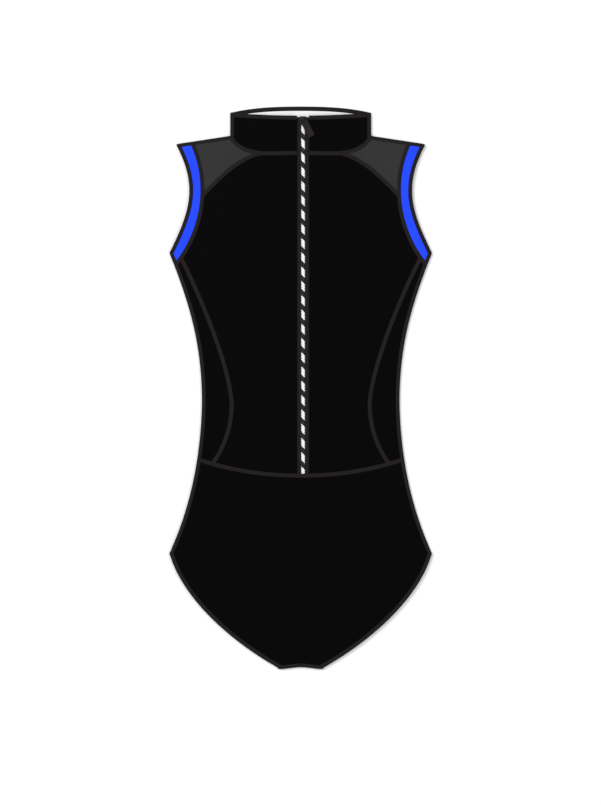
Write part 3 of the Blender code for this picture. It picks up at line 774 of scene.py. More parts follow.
def baked(obj):
    """Turns an object and its modifiers into a plain mesh."""
    evaluated = obj.evaluated_get(bpy.context.evaluated_depsgraph_get())
    mesh = bpy.data.meshes.new_from_object(evaluated)
    obj.modifiers.clear()
    obj.data = mesh
    mesh.shade_smooth()
    mesh.set_sharp_from_angle(angle=SHARP)


def soften(obj, width, clamp=True):
    """Rounds the sharp edges."""
    soft = obj.modifiers.new("Soft edges", "BEVEL")
    soft.width = width * MM
    soft.segments = 2
    soft.limit_method = "ANGLE"
    soft.angle_limit = SHARP
    soft.use_clamp_overlap = clamp


def new_object(name, data):
    obj = bpy.data.objects.new(name, data)
    bpy.context.scene.collection.objects.link(obj)
    return obj


def built(name, bm):
    """An object of what bmesh has made."""
    mesh = bpy.data.meshes.new(name)
    bm.to_mesh(mesh)
    bm.free()
    return new_object(name, mesh)


print("points closer than", round(MERGE / MM, 3), "mm become one")

# %% Sew a piece
RIM_SOFT = 0.3
ACROSS = (0, 2)
ALONG = (1, 2)
ANY_WAY = (0, 1, 2)
made_cloth = []


def longest(rows, axis, directions):
    """The longest of the rows, or of the columns, laid flat: how far it runs in some directions."""
    steps = np.diff(rows, axis=axis)[..., directions]
    return float(np.linalg.norm(steps, axis=2).sum(axis=axis).max())


def triangles(obj):
    return sum(len(p.vertices) - 2 for p in obj.data.polygons)


def sew(node, rows, finish, wall=CLOTH, marked=None,
        runs=(ACROSS, ALONG), clamp=False):
    """A cloth piece that stands for a solid, and says what it was cut from."""
    obj = new_object(f"{node}_cloth", grid_mesh(node, rows, (finish, THREAD), marked))
    area = sum(p.area for p in obj.data.polygons)
    size = [longest(rows, 1, runs[0]) * MM, longest(rows, 0, runs[1]) * MM]
    thick = obj.modifiers.new("Wall", "SOLIDIFY")
    thick.thickness = wall * MM
    thick.offset = -1.0
    thick.use_even_offset = True
    soften(obj, RIM_SOFT, clamp)
    baked(obj)
    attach(obj, BODY)
    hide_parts(node)
    made_cloth.append(obj)
    cut = f"{size[0] / MM:.0f} x {size[1] / MM:.0f} mm, {area * 1e4:.0f} cm2"
    print(f"{obj.name}: cut {cut}, {triangles(obj)} triangles")


# %% [markdown]
# ## Front, side panels and yokes
#
# The front is in two halves beside the zip, and each half is a little different, because the zip lies to one
# side. The side panels turn under at the side seam, and the yokes at the shoulder.

# %% Front pieces


def opening(side):
    return ZIP_HALF_OPENING + side * ZIP_X


def front_sides(side):
    waist = stretch(WAIST_SEAM, at_x(WAIST_SEAM, opening(side)), T_WAIST_PANEL)
    neck = stretch(NECK_FRONT, T_NECK_YOKE, at_x(NECK_FRONT, opening(side)))
    band = stretch(BAND_SEAM, T_BAND_PANEL, T_BAND_YOKE)
    right = [seam(stretch(PANEL_LOWER)[::-1]), seam(stretch(PANEL_UPPER)[::-1]), seam(band)]
    top = [seam(yoke_seam[::-1]), seam(neck)]
    return [seam(waist)], right, top, [free(straight(neck[-1], waist[0]))]


def on_side(side):
    """The height of one half of the front. The right half is worked out as a left one, and mirrored."""
    return lambda plan: front_cloth(plan * np.array([side, 1.0]))


def both_sides(node, make_rows, finish):
    """A piece and its mirror image, each with its own creases."""
    sew(f"{node}_left", make_rows(1), finish)
    sew(f"{node}_right", mirrored(make_rows(-1)), finish)


both_sides("front", lambda side: patch(*front_sides(side), on_side(side)), BLACK)

# %% Side panels and yokes


def side_line(low, high, move):
    y = np.linspace(low, high, STRETCH_POINTS)
    return np.column_stack([side_x(y) - move, y])


def side_panel(side):
    waist = stretch(WAIST_SEAM, T_WAIST_PANEL, T_WAIST_SIDE)
    top = stretch(BAND_SEAM, T_BAND_END, T_BAND_PANEL)
    edge = side_line(waist[-1][1], top[0][1], EDGE_RADIUS)
    left = [seam(stretch(PANEL_UPPER)), seam(stretch(PANEL_LOWER))]
    return fold_right(patch([seam(waist)], [free(edge)], [seam(top)], left, on_side(side)))


def yoke(side):
    band = stretch(BAND_SEAM, T_BAND_YOKE, T_BAND_TOP)
    shoulder = straight(band[-1], point(NECK_FRONT, T_SHOULDER_END))
    neck = stretch(NECK_FRONT, T_SHOULDER_END, T_NECK_YOKE)
    return fold_top(patch([seam(yoke_seam)], [seam(band)], [free(shoulder)], [seam(neck)], on_side(side)))


both_sides("side_panel", side_panel, BLACK)
both_sides("yoke", yoke, CHARCOAL)

# %% [markdown]
# ## Lower front and back
#
# The lower front is one piece. It turns under at its sides and at the crotch, but along the legs it ends in
# an open edge, so the fold fades out at the hip. The back is one flat piece that the garment lies on.

# %% Lower front
HIP_FADE = 8.0


def leg_line(start_inset, end_inset):
    start = at_y(LEG_EDGE, HIP[1] - start_inset)
    stop = at_y(LEG_EDGE, CROTCH_CORNER[1] + end_inset)
    return stretch(LEG_EDGE, stop, start)


def crotch_line(corner, move):
    x = np.linspace(0.0, corner[0], STRETCH_POINTS)
    y = curve_y(CROTCH_EDGE, x) + move
    y[-1] = corner[1]
    return np.column_stack([x, y])


def lower_front():
    leg = leg_line(2 * EDGE_RADIUS, EDGE_RADIUS) - np.array([EDGE_RADIUS, 0.0])
    waist = stretch(WAIST_SEAM, T_WAIST_SIDE, 1.0)
    side = side_line(HIP[1], waist[0][1], EDGE_RADIUS)
    hip = straight(leg[-1], side[0])
    crotch = crotch_line(leg[0], EDGE_RADIUS)
    right = [free(leg), free(hip), free(side)]
    rows = patch([free(crotch)], right, [seam(waist)], [free(straight(waist[-1], crotch[0]))], front_height)
    share = smooth((rows[:, -1, 1] - HIP[1]) / HIP_FADE)
    return fold_bottom(fold_right(rows, share))


def creased(rows):
    """The front's relief, only where the surface faces up."""
    top = rows[..., 2] >= EDGE_HEIGHT
    lifted = rows.copy()
    lifted[..., 2] += np.where(top, relief(rows[..., :2]), 0.0)
    return lifted


sew("brief_front", creased(whole(lower_front())), BLACK, clamp=True)

# %% Back


def back_half():
    leg = leg_line(2 * EDGE_RADIUS, BACK_INSET)
    band = stretch(BAND_SEAM, T_BACK_END, T_BACK_TOP)
    side = side_line(HIP[1], band[0][1], BACK_INSET)
    hip = straight(leg[-1], side[0])
    neck = stretch(NECK_BACK, T_BACK_FOLD, 1.0)
    shoulder_x = neck[0][0] + EDGE_RADIUS / 2
    shoulder_end = (shoulder_x, shoulder_y(shoulder_x) - BACK_INSET)
    top = [free(straight(band[-1], shoulder_end)), free(straight(shoulder_end, neck[0])), seam(neck)]
    crotch = crotch_line(leg[0], BACK_INSET)
    right = [free(leg), free(hip), free(side), seam(band)]
    return patch([free(crotch)], right, top, [free(straight(neck[-1], crotch[0]))], on_floor, 2 * CELL)


sew("back", whole(back_half())[:, ::-1], BLACK)

# %% [markdown]
# ## Armhole bands and collar
#
# A band is a ring: over the front, round the shoulder, down the back and round under the arm. The collar is
# one strip from one side of the zip to the other, and its inside shows at the back of the neck, where it is
# lined in a pale jersey under a turned dark edge.

# %% Armhole bands
BAND_CELL = 1.6
BAND_CELLS = 7
BINDING = 5.0
BINDING_CELLS = 3
FOLD_CELLS = 2


def beside(inner, curve, start, stop):
    """Points on a curve, each as far along it as the given point is along its own line."""
    return cubic(curve, mix(start, stop, distances(inner) / path_length(inner)))


def recolumn(rows):
    """Rows whose last cells are exactly as wide as the dark binding."""
    lengths = [path_length(row) for row in rows]
    cloth = [np.linspace(0, length - BINDING, BAND_CELLS + 1) for length in lengths]
    bound = [np.linspace(length - BINDING, length, BINDING_CELLS + 1)[1:] for length in lengths]
    return np.array([at_distances(row, np.append(a, b)) for row, a, b in zip(rows, cloth, bound)])


def band_strip(inner, height):
    top_t = where(ARMHOLE_EDGE, shoulder_depth, EDGE_RADIUS)
    outer = beside(inner, ARMHOLE_EDGE, top_t, at_y(ARMHOLE_EDGE, UNDERARM[1] + EDGE_RADIUS))
    under, over = straight(inner[-1], outer[-1]), straight(outer[0], inner[0])
    sides = [free(under)], [free(outer[::-1])], [free(over)], [seam(inner)]
    return recolumn(patch(*sides, height, BAND_CELL))


# %% The ring of each band


def armhole_band(side):
    """The rows of the ring, and which of its cells are dark."""
    front_seam = stretch(BAND_SEAM, T_BAND_TOP, T_BAND_END)
    back_seam = np.vstack([front_seam[:1], stretch(BAND_SEAM, T_BACK_TOP, T_BACK_END), front_seam[-1:]])
    front, behind = band_strip(front_seam, on_side(side)), band_strip(back_seam, on_floor)
    over = fold(front[-1], (0.0, 1.0), lap=False).transpose(1, 0, 2)
    to_corner = (np.array(UNDERARM) - front[0, -1, :2]) / EDGE_RADIUS
    share = np.linspace(0, 1, front.shape[1])[:, None]
    under = fold(front[0], mix(np.array([1.0, 0.0]), to_corner, share), lap=False).transpose(1, 0, 2)
    ring = np.concatenate([front, over, behind[::-1], under[::-1], front[:1]])
    bound = np.zeros((ring.shape[0] - 1, ring.shape[1] - 1), bool)
    bound[:, -BINDING_CELLS:] = True
    top, bottom = len(front) - 1, len(front) + len(over) + len(behind) - 1
    bound[top - FOLD_CELLS:top + len(over) + 1 + FOLD_CELLS] = True
    bound[bottom - FOLD_CELLS:] = True
    bound[:FOLD_CELLS] = True
    return ring, bound


for name, side in (("armhole_band_left", 1), ("armhole_band_right", -1)):
    band, bound = armhole_band(side)
    if side < 0:
        band, bound = mirrored(band), bound[:, ::-1]
    sew(name, band, BLUE, marked=bound, runs=(ANY_WAY, ANY_WAY))

# %% Collar and lining
COLLAR_CELL = 2.0
COLLAR_RUNS = 22


def level_rows(bottom, top, height):
    """Rows from one line up to another, the same number of points in each."""
    plan = mix(bottom[None], top[None], np.linspace(0, 1, COLLAR_RUNS + 1)[:, None, None])
    return np.dstack([plan, height(plan)])


def collar_strip(seam_line, top_curve, height):
    """Rows from a seam at the neck up to the top edge above it."""
    neck = evenly(seam_line, int(NECK_POINT[0] / COLLAR_CELL))
    top = np.column_stack([neck[:, 0], curve_y(top_curve, neck[:, 0])])
    return level_rows(neck + np.array([0.0, HALF_GAP]), top, height)


def collar_front(side):
    def height(plan):
        calm = smooth((NECK_POINT[0] - EDGE_RADIUS - plan[..., 0]) / EDGE_CALM)
        return mix(front_height(plan), on_side(side)(plan), calm)

    line = stretch(NECK_FRONT, T_FOLD, at_x(NECK_FRONT, opening(side)))
    return collar_strip(line, COLLAR_TOP_FRONT, height)[:, ::-1]


def collar():
    left, right = collar_front(1), mirrored(collar_front(-1))
    behind = collar_strip(stretch(NECK_BACK, T_BACK_FOLD, 1.0), COLLAR_TOP_BACK, on_floor)
    rise = np.linspace(0, 1, COLLAR_RUNS + 1)
    edge = left[:, -1].copy()
    edge[:, 1] = mix(NECK_POINT[1] + 2 * SEAM_GAP, COLLAR_CORNER[1], rise)
    edge[:, 2] = EDGE_HEIGHT
    turn = fold(edge, (1.0, 0.0), lap=False)
    across = np.concatenate([behind, mirrored(behind)[:, 1:]], axis=1)
    return np.concatenate([left, turn, across, mirrored(turn), right], axis=1)


sew("collar", collar(), BLACK)


def lining_half():
    x = np.linspace(0.0, LINING_HALF_WIDTH, int(LINING_HALF_WIDTH / COLLAR_CELL))
    bottom = np.column_stack([x, curve_y(NECK_BACK, x) + LINING_ABOVE_SEAM])
    upper = np.column_stack([x, curve_y(COLLAR_TOP_BACK, x) - COLLAR_HEM])
    return level_rows(bottom, upper, lambda plan: on_floor(plan) + CLOTH + SEAM_GAP + LINING)


sew("collar_lining", whole(lining_half()), LINING_KNIT, LINING)

# %% [markdown]
# ## Flat seams and hems
#
# Each line that is drawn on the garment is a flat seam or a hem, 5 mm wide: two rows of needle stitches with
# cover threads crossing between them, over a narrow tape. One unit of it is modelled, and Geometry Nodes set
# it along every seam at an even pitch. Placing thousands of threads on curved cloth by hand would be slow, so
# the seam is laid out flat first, and then each of its points drops straight down onto the cloth.

# %% One unit of the seam
SEAM_WIDTH = 5.0
NEEDLE_AT = 1.75
THREAD_RADIUS = 0.24
STITCH_PITCH = 2.9
TUBE_SIDES = 5
THREAD_GAP = 0.5


def tube(bm, points, radius):
    """A closed tube along a few points, with round sides and flat ends."""
    points = np.array(points, float)
    rings = []
    for i, centre in enumerate(points):
        ahead = points[min(i + 1, len(points) - 1)] - points[max(i - 1, 0)]
        ahead /= np.linalg.norm(ahead)
        across = np.cross((0.0, 0.0, 1.0), ahead)
        across /= np.linalg.norm(across)
        up = np.cross(ahead, across)
        angles = TAU * np.arange(TUBE_SIDES) / TUBE_SIDES
        ring = [centre + radius * (math.cos(a) * across + math.sin(a) * up) for a in angles]
        rings.append([bm.verts.new(p * MM) for p in ring])
    for low, high in zip(rings, rings[1:]):
        for k in range(TUBE_SIDES):
            m = (k + 1) % TUBE_SIDES
            bm.faces.new((low[k], low[m], high[m], high[k]))
    bm.faces.new(rings[0][::-1])
    bm.faces.new(rings[-1])


def thread_unit(name, threads):
    """A small model that Geometry Nodes copy, and that isn't part of the garment."""
    bm = bmesh.new()
    for points in threads:
        tube(bm, points, THREAD_RADIUS)
    bmesh.ops.recalc_face_normals(bm, faces=bm.faces)
    return built(name, bm)


# Each thread is a few points: along the seam, across it, and up.
reach = (STITCH_PITCH - THREAD_GAP) / 2
needle = [(-reach, 0, -0.05), (-reach / 2, 0, 0.2), (reach / 2, 0, 0.2), (reach, 0, -0.05)]
cover = [(-0.6, -NEEDLE_AT, 0.05), (-0.1, -0.6, 0.22), (0.3, 0.6, 0.22), (0.8, NEEDLE_AT, 0.05)]
rows_of_needle = [[(x, y + move, z) for x, y, z in needle] for move in (NEEDLE_AT, -NEEDLE_AT)]
two_covers = [[(x - move, y, z) for x, y, z in cover] for move in (0, STITCH_PITCH / 2)]
flat_unit = thread_unit("seam_unit", rows_of_needle + two_covers)
print("seam unit:", triangles(flat_unit), "triangles, every", STITCH_PITCH, "mm")

# %% The tape's outline
TAPE_ACROSS = (-2.5, -2.3, -1.9, -1.0, 0.0, 1.0, 1.9, 2.3, 2.5)
TAPE_UP = (0.0, 0.16, 0.24, 0.26, 0.26, 0.26, 0.24, 0.16, 0.0)
TAPE_UNDER = -0.2


def wire_object(name, points, edges):
    """Points in millimetres, and the edges between them."""
    mesh = bpy.data.meshes.new(name)
    mesh.from_pydata((np.array(points, float) * MM).tolist(), edges, [])
    return new_object(name, mesh)


# A flat band with soft shoulders, drawn turned by half a turn, because that is how a sweep with its normal
# upright lays it down.
tape_loop = [(x, TAPE_UNDER) for x in TAPE_ACROSS[::2]] + list(zip(TAPE_ACROSS, TAPE_UP))[::-1]
tape_edges = [(i, (i + 1) % len(tape_loop)) for i in range(len(tape_loop))]
tape_outline = wire_object("tape_outline", [(-x, -y, 0.0) for x, y in tape_loop], tape_edges)
print("tape:", len(tape_edges), "sides")

# %% [markdown]
# The tree takes the seam lines as edges. It turns them into curves, sets a unit at each step along them, and
# sweeps the tape under it. The drop is a ray that is cast down from above each point: where it meets the
# cloth, that height is added to the point's own. A point just past the edge has no cloth under it, so it goes
# to the nearest point of the edge, and the tape wraps round it as a binding does.

# %% Geometry Nodes that both trees use


def node_group(name, sockets):
    """A tree with named inputs, their wires, and the identifier of each input by its name."""
    tree = bpy.data.node_groups.new(name, "GeometryNodeTree")
    tree.is_modifier = True
    tree.interface.new_socket("Geometry", in_out="OUTPUT", socket_type="NodeSocketGeometry")
    ids = {}
    for label, kind in sockets.items():
        socket = tree.interface.new_socket(label, in_out="INPUT", socket_type=f"NodeSocket{kind}")
        ids[label] = socket.identifier
    source = tree.nodes.new("NodeGroupInput")
    return tree, {label: Wire(tree, source.outputs[label]) for label in ids}, ids


def realized(geometry):
    return geometry.add("GeometryNodeRealizeInstances", inputs={"Geometry": geometry})


def finish_tree(tree, geometry, finish):
    real = realized(geometry)
    coloured = real.add("GeometryNodeSetMaterial", inputs={"Geometry": real, "Material": finish})
    plug(tree, tree.nodes.new("NodeGroupOutput").inputs[0], coloured)


def joined(*parts):
    join = parts[0].add("GeometryNodeJoinGeometry")
    for part in parts:
        join.tree.links.new(part.socket, join.socket.node.inputs[0])
    return join


def model_of(wire):
    info = wire.add("GeometryNodeObjectInfo", {"transform_space": "RELATIVE"}, {"Object": wire})
    return info.out("Geometry")


def curve_of(wire):
    return wire.add("GeometryNodeMeshToCurve", inputs={"Mesh": wire})


def resampled(curve, length):
    return curve.add("GeometryNodeResampleCurve", {"mode": "LENGTH"}, {"Curve": curve, "Length": length})


def points_along(curve, pitch):
    spaced = resampled(curve, pitch)
    return spaced.add("GeometryNodeCurveToPoints", {"mode": "EVALUATED"}, {"Curve": spaced})


def copies(points, unit, **more):
    """A copy of the unit on each point."""
    return points.add("GeometryNodeInstanceOnPoints", inputs={"Points": points, "Instance": unit, **more})


def run_tree(obj, tree, ids, values):
    """Sets the tree's named inputs on an object, and keeps the result as a plain mesh of the garment."""
    step = obj.modifiers.new("Nodes", "NODES")
    step.node_group = tree
    for label, value in values.items():
        step[ids[label]] = value
    baked(obj)
    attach(obj, BODY)
    print(f"{obj.name}:", triangles(obj), "triangles")


# %% The tree for seams


def set_along(curve, unit, pitch):
    """A copy of the unit at each step of the curve, flat and turned along it."""
    points = points_along(curve, pitch)
    upright = {"primary_axis": "Z", "secondary_axis": "X"}
    axes_in = {"Primary Axis": (0.0, 0.0, 1.0), "Secondary Axis": points.out("Tangent")}
    return copies(points, unit, Rotation=points.add("FunctionNodeAxesToRotation", upright, axes_in))


RAY_HEIGHT = 0.05
RIM_HEIGHT = 0.003
WRAP_LIFT = 0.0003


def vectors(operation, a, b):
    wire = a if isinstance(a, Wire) else b
    return wire.add("ShaderNodeVectorMath", {"operation": operation}, {0: a, 1: b})


def dropped(geometry, cloth):
    """Every point of the geometry, laid on the cloth under it, or else on the nearest edge."""
    here = geometry.add("GeometryNodeInputPosition")
    ray = {"Target Geometry": cloth, "Source Position": vectors("ADD", here, (0.0, 0.0, RAY_HEIGHT))}
    ray |= {"Ray Direction": (0.0, 0.0, -1.0), "Ray Length": 2 * RAY_HEIGHT}
    hit = geometry.add("GeometryNodeRaycast", inputs=ray)
    _, _, height = axes(hit.out("Hit Position"))
    lift = height.add("ShaderNodeCombineXYZ", inputs={2: height})
    off_edge = vectors("ADD", here, (0.0, 0.0, RIM_HEIGHT))
    search = {"Geometry": cloth, "Sample Position": off_edge}
    nearest = geometry.add("GeometryNodeProximity", {"target_element": "FACES"}, search)
    away = vectors("NORMALIZE", vectors("SUBTRACT", off_edge, nearest), (0.0, 0.0, 0.0))
    proud = vectors("MULTIPLY", away, (WRAP_LIFT,) * 3)
    wrap = vectors("SUBTRACT", vectors("ADD", nearest, proud), here)
    # Inputs 4 and 5 of a Mix node are its vectors.
    either = {0: hit.out("Is Hit"), 4: wrap, 5: lift}
    offset = lift.add("ShaderNodeMix", {"data_type": "VECTOR"}, either, output=1)
    return geometry.add("GeometryNodeSetPosition", inputs={"Geometry": geometry, "Offset": offset})


def without_ends(curve, cut):
    """The curve, shorter by a cut at each end."""
    length = curve.add("GeometryNodeSplineLength")
    share = cut / length
    ends = {"Curve": curve, "Start": share, "End": 1 - share}
    return curve.add("GeometryNodeTrimCurve", {"mode": "FACTOR"}, ends)


def seam_group():
    sockets = {"Path": "Geometry", "Cloth": "Object", "Unit": "Object", "Pitch": "Float"}
    sockets |= {"Tape": "Object", "Tape step": "Float", "Finish": "Material"}
    tree, wires, ids = node_group("Seam along a path", sockets)
    curve = curve_of(wires["Path"])
    stitches = set_along(without_ends(curve, wires["Pitch"]), model_of(wires["Unit"]), wires["Pitch"])
    fine = resampled(curve, wires["Tape step"])
    level = fine.add("GeometryNodeSetCurveNormal", {"mode": "Z_UP"}, {"Curve": fine})
    swept = {"Curve": level, "Profile Curve": curve_of(model_of(wires["Tape"])), "Fill Caps": True}
    tape = level.add("GeometryNodeCurveToMesh", inputs=swept)
    laid = dropped(joined(realized(stitches), tape), model_of(wires["Cloth"]))
    finish_tree(tree, laid, wires["Finish"])
    return tree, ids


SEAM_TREE, SEAM_IDS = seam_group()
print("seam tree:", len(SEAM_TREE.nodes), "nodes")

# %% [markdown]
# The lines themselves come from the pattern. A hem runs inside the edge of the cloth by half its own width.
# It stops at an open edge, and reaches a little past a closed one, so that it wraps round the fold. The edge
# goes round the corners of the garment as one line.

# %% Moving, mirroring and joining lines
HEM_OVERHANG = 0.35
OPEN_OVERHANG = -0.05
OPEN_RUN = 2.0
END_GAP = 0.4
HEM_INSET = SEAM_WIDTH / 2 - HEM_OVERHANG
OPEN_INSET = SEAM_WIDTH / 2 - OPEN_OVERHANG
TIP_CUT = 2.0


def moved_in(points, distance):
    """A line moved to its left, with its corners kept sharp."""
    normal = left_of(np.diff(points, axis=0))
    before, after = np.vstack([normal[:1], normal]), np.vstack([normal, normal[-1:]])
    both = before + after
    return points + distance * 2 * both / (both * both).sum(axis=1)[:, None]


def hem_inset(points):
    """How far inside the edge a hem runs, along the closed edges and the open ones."""
    x, y = points[:, 0], points[:, 1]
    leg = smooth((HIP[1] - y) / OPEN_RUN) * smooth((x - CROTCH_CORNER[0]) / OPEN_RUN)
    armhole = smooth((y - UNDERARM[1]) / OPEN_RUN)
    return mix(HEM_INSET, OPEN_INSET, leg + armhole)[:, None]


def without_doubles(points):
    return points[np.concatenate([[True], step_lengths(points) > MERGE / MM])]


def mirror_line(points):
    return points * np.array([-1.0, 1.0])


def left_and_right(points):
    return [points, mirror_line(points)]


def across_middle(points):
    """A line that ends at the middle, carried on by its mirror image."""
    return np.vstack([points, mirror_line(points)[::-1][1:]])


def neck_part(side):
    return stretch(NECK_FRONT, 0.0, at_x(NECK_FRONT, opening(side) + END_GAP))


def collar_top(side):
    stop = at_x(COLLAR_TOP_FRONT, opening(side) + END_GAP)
    return moved_in(stretch(COLLAR_TOP_FRONT, 0.0, stop), OPEN_INSET)


print("hems run", HEM_INSET, "mm inside a closed edge,", OPEN_INSET, "mm inside an open one")

# %% Seam lines and hem lines
seam_lines = [
    neck_part(1), mirror_line(neck_part(-1)),
    *left_and_right(yoke_seam),
    *left_and_right(panel_seam),
    *left_and_right(stretch(BAND_SEAM, T_BAND_TOP, T_BAND_END)),
    across_middle(stretch(WAIST_SEAM, T_WAIST_SIDE)),
]
below_tip = EDGE[shoulder_depth(EDGE) > TIP_CUT]
half_edge = without_doubles(np.vstack([stretch(CROTCH_EDGE)[::-1], below_tip]))
half_hem = moved_in(half_edge, hem_inset(half_edge))
half_hem[0, 0] = 0.0
back_top = moved_in(stretch(COLLAR_TOP_BACK), OPEN_INSET)
back_top[-1, 0] = 0.0
shoulder = straight(SHOULDER_TIP, NECK_POINT)
shoulder = moved_in(shoulder[SHOULDER_TIP[0] - shoulder[:, 0] > TIP_CUT], HEM_INSET)
collar_start = (NECK_POINT[0], NECK_POINT[1] - SEAM_WIDTH / 2)
collar_end = moved_in(straight(collar_start, COLLAR_CORNER), HEM_INSET)
hem_lines = [
    np.vstack([mirror_line(half_hem)[::-1], half_hem[1:]]),
    *left_and_right(shoulder),
    *left_and_right(collar_end),
    collar_top(1), mirror_line(collar_top(-1)),
    across_middle(back_top),
]
for kind, lines in (("seams", seam_lines), ("hems", hem_lines)):
    print(f"{kind}:", round(sum(map(path_length, lines))), "mm")

# %% Sew the seams and hems
TAPE_STEP = 2.0
LINE_STEP = 1.0


def path_object(name, lines):
    """Edges along the lines, flat on the floor."""
    points, edges = [], []
    for line in lines:
        first = len(points)
        points += [(x, y, 0.0) for x, y in evenly(line, max(int(path_length(line) / LINE_STEP), 1))]
        edges += [(i, i + 1) for i in range(first, len(points) - 1)]
    return wire_object(name, points, edges)


def bridge(line):
    """A strip at the height of the cloth, so that no ray falls between two pieces."""
    middle = evenly(line, int(path_length(line) / LINE_STEP))
    plan = np.stack([moved_in(middle, move) for move in (SEAM_WIDTH / 2, -SEAM_WIDTH / 2)])
    return grid_mesh("bridge", np.dstack([plan, front_cloth(plan)]))


def cloth_target():
    """All the cloth in one mesh, for the rays to meet."""
    bm = bmesh.new()
    for mesh in [obj.data for obj in made_cloth] + [bridge(line) for line in seam_lines]:
        bm.from_mesh(mesh)
    return built("cloth_target", bm)


target = cloth_target()
SEAM_INPUTS = {
    "Cloth": target, "Unit": flat_unit, "Pitch": STITCH_PITCH * MM,
    "Tape": tape_outline, "Tape step": TAPE_STEP * MM, "Finish": THREAD,
}
for name, lines in (("seam_stitching", seam_lines), ("hem_stitching", hem_lines)):
    run_tree(path_object(name, lines), SEAM_TREE, SEAM_IDS, SEAM_INPUTS)

# %% [markdown]
# ## Zip
#
# The chain is two rows of moulded teeth that lock into each other, half a pitch apart. The solid is a plain
# bar, so Geometry Nodes set one tooth along it twice, once for each row, and the second row is turned round.

# %% One tooth
CHAIN_LOW, CHAIN_HIGH = (np.array(v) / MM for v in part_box("zip_chain"))
TOOTH_PITCH = 2.0
TOOTH_LENGTH = 1.5
TIP_SHARE = 0.62
TOOTH_REACH = 2.3
TOOTH_OVERLAP = 0.75
TOOTH_BEVEL = 0.22
TOOTH_PROUD = 0.3
TOOTH_HEIGHT = CHAIN_HIGH[2] - CHAIN_LOW[2] + TOOTH_PROUD


def tooth_model():
    """A block with soft edges that narrows from the tape to just past the middle."""
    bm = bmesh.new()
    bmesh.ops.create_cube(bm, size=1.0)
    length = TOOTH_REACH + TOOTH_OVERLAP
    for vertex in bm.verts:
        width = TOOTH_LENGTH * (TIP_SHARE if vertex.co.x < 0 else 1.0)
        x = (vertex.co.x + 0.5) * length - TOOTH_OVERLAP
        vertex.co = (x * MM, vertex.co.y * width * MM, vertex.co.z * TOOTH_HEIGHT * MM)
    bmesh.ops.bevel(bm, geom=bm.edges[:], offset=TOOTH_BEVEL * MM, segments=1, affect="EDGES")
    return built("tooth", bm)


tooth = tooth_model()
print("tooth:", triangles(tooth), "triangles")

# %% Geometry Nodes for the chain


def chain_group():
    sockets = {"Path": "Geometry", "Tooth": "Object", "Pitch": "Float", "Finish": "Material"}
    tree, wires, ids = node_group("Teeth along a chain", sockets)
    points = points_along(curve_of(wires["Path"]), wires["Pitch"])
    model = model_of(wires["Tooth"])
    up_half = points.add("ShaderNodeCombineXYZ", inputs={1: wires["Pitch"] * 0.5})
    later = points.add("GeometryNodeSetPosition", inputs={"Geometry": points, "Offset": up_half})
    about = later.add("FunctionNodeEulerToRotation", inputs={0: (0.0, 0.0, math.pi)})
    finish_tree(tree, joined(copies(points, model), copies(later, model, Rotation=about)), wires["Finish"])
    return tree, ids


CHAIN_TREE, CHAIN_IDS = chain_group()
chain_z = (CHAIN_LOW[2] + CHAIN_HIGH[2]) / 2
chain_start, chain_stop = CHAIN_LOW[1] + TOOTH_LENGTH, CHAIN_HIGH[1] - TOOTH_LENGTH
chain = wire_object("zip_teeth", [(ZIP_X, y, chain_z) for y in (chain_start, chain_stop)], [(0, 1)])
CHAIN_INPUTS = {"Tooth": tooth, "Pitch": TOOTH_PITCH * MM, "Finish": TEETH}
run_tree(chain, CHAIN_TREE, CHAIN_IDS, CHAIN_INPUTS)
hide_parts("zip_chain")

# %% [markdown]
# The tapes, the slider and the pull tab keep their solids, whose shapes are right. They get their finishes,
# and the slider and tab get softened edges: their loose triangles are welded first, or there would be no
# edges to soften.

# %% Tapes, slider and pull tab
EDGE_SOFT = 0.16


def dress(node, finish, edge=0.0):
    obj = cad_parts[node]
    obj.data.materials.clear()
    obj.data.materials.append(finish)
    if edge:
        weld = obj.modifiers.new("Weld", "WELD")
        weld.merge_threshold = MERGE
        soften(obj, edge)


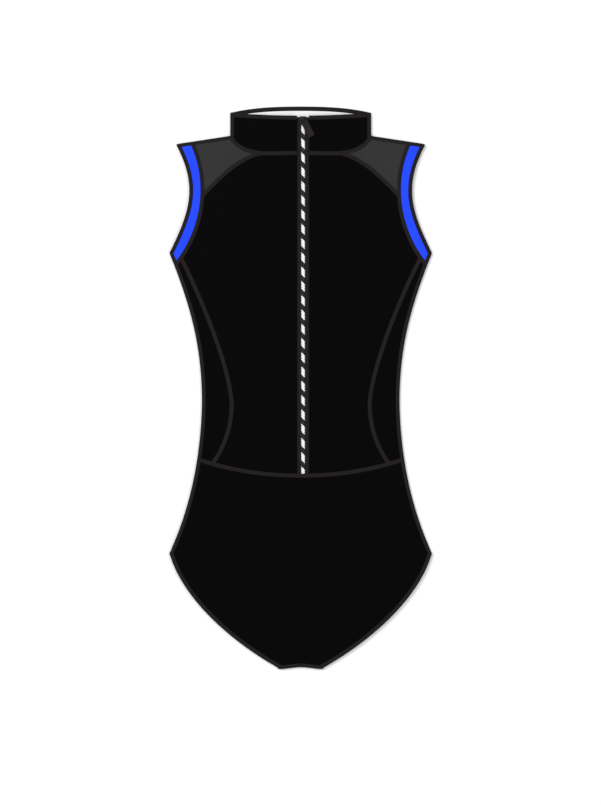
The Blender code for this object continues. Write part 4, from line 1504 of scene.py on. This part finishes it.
dress("zip_tape_left", TAPE)
dress("zip_tape_right", TAPE)
dress("zip_slider", METAL, EDGE_SOFT)
dress("zip_pull", RUBBER, EDGE_SOFT)
for scrap in (flat_unit, tape_outline, tooth, target):
    bpy.data.objects.remove(scrap)

# %% [markdown]
# ## Studio
#
# The picture is taken straight down at a near-white floor. The light is one large soft panel above and to one
# side, and a weaker one opposite, so that the black cloth shows its form without hard shadows.

# %% Floor, light and camera
IMAGE_HEIGHT = 805
MM_PER_PIXEL = 1.27
VIEW_CENTRE = (-0.25, -18.7)
LENS = 100.0
SENSOR = 36.0
FLOOR_SIZE = 8.0
FLOOR_GAP = 0.2
FLOOR_COLOUR = (0.93, 0.93, 0.93)
ROOM_LIGHT = 0.55


def make_floor():
    bm = bmesh.new()
    bmesh.ops.create_grid(bm, x_segments=1, y_segments=1, size=FLOOR_SIZE / 2)
    floor = built("floor", bm)
    floor.location.z = -FLOOR_GAP * MM
    paper, shader, _ = start_finish("Floor paper", 0.95, specular=0.1)
    shader["Base Color"].default_value = (*FLOOR_COLOUR, 1.0)
    floor.data.materials.append(paper)


def panel(name, place, size, power):
    """A square light that faces the middle of the garment."""
    data = bpy.data.lights.new(name, "AREA")
    data.size = size
    data.energy = power
    light = new_object(name, data)
    light.location = place
    light.rotation_mode = "QUATERNION"
    light.rotation_quaternion = (-light.location).to_track_quat("-Z", "Y")


def make_camera():
    data = bpy.data.cameras.new("camera")
    data.lens = LENS
    data.sensor_width = SENSOR
    camera = new_object("camera", data)
    distance = IMAGE_HEIGHT * MM_PER_PIXEL * LENS / SENSOR
    camera.location = (VIEW_CENTRE[0] * MM, VIEW_CENTRE[1] * MM, distance * MM)
    bpy.context.scene.camera = camera
    print("camera:", round(distance), "mm above the floor")


make_floor()
panel("key", place=(-1.6, 1.2, 2.2), size=1.8, power=60.0)
panel("fill", place=(1.8, -1.0, 2.0), size=2.2, power=32.0)
world = bpy.data.worlds.new("Studio")
world.use_nodes = True
background = world.node_tree.nodes["Background"].inputs
background["Color"].default_value = (1.0, 1.0, 1.0, 1.0)
background["Strength"].default_value = ROOM_LIGHT
bpy.context.scene.world = world
bpy.context.scene.view_settings.view_transform = "Standard"
make_camera()
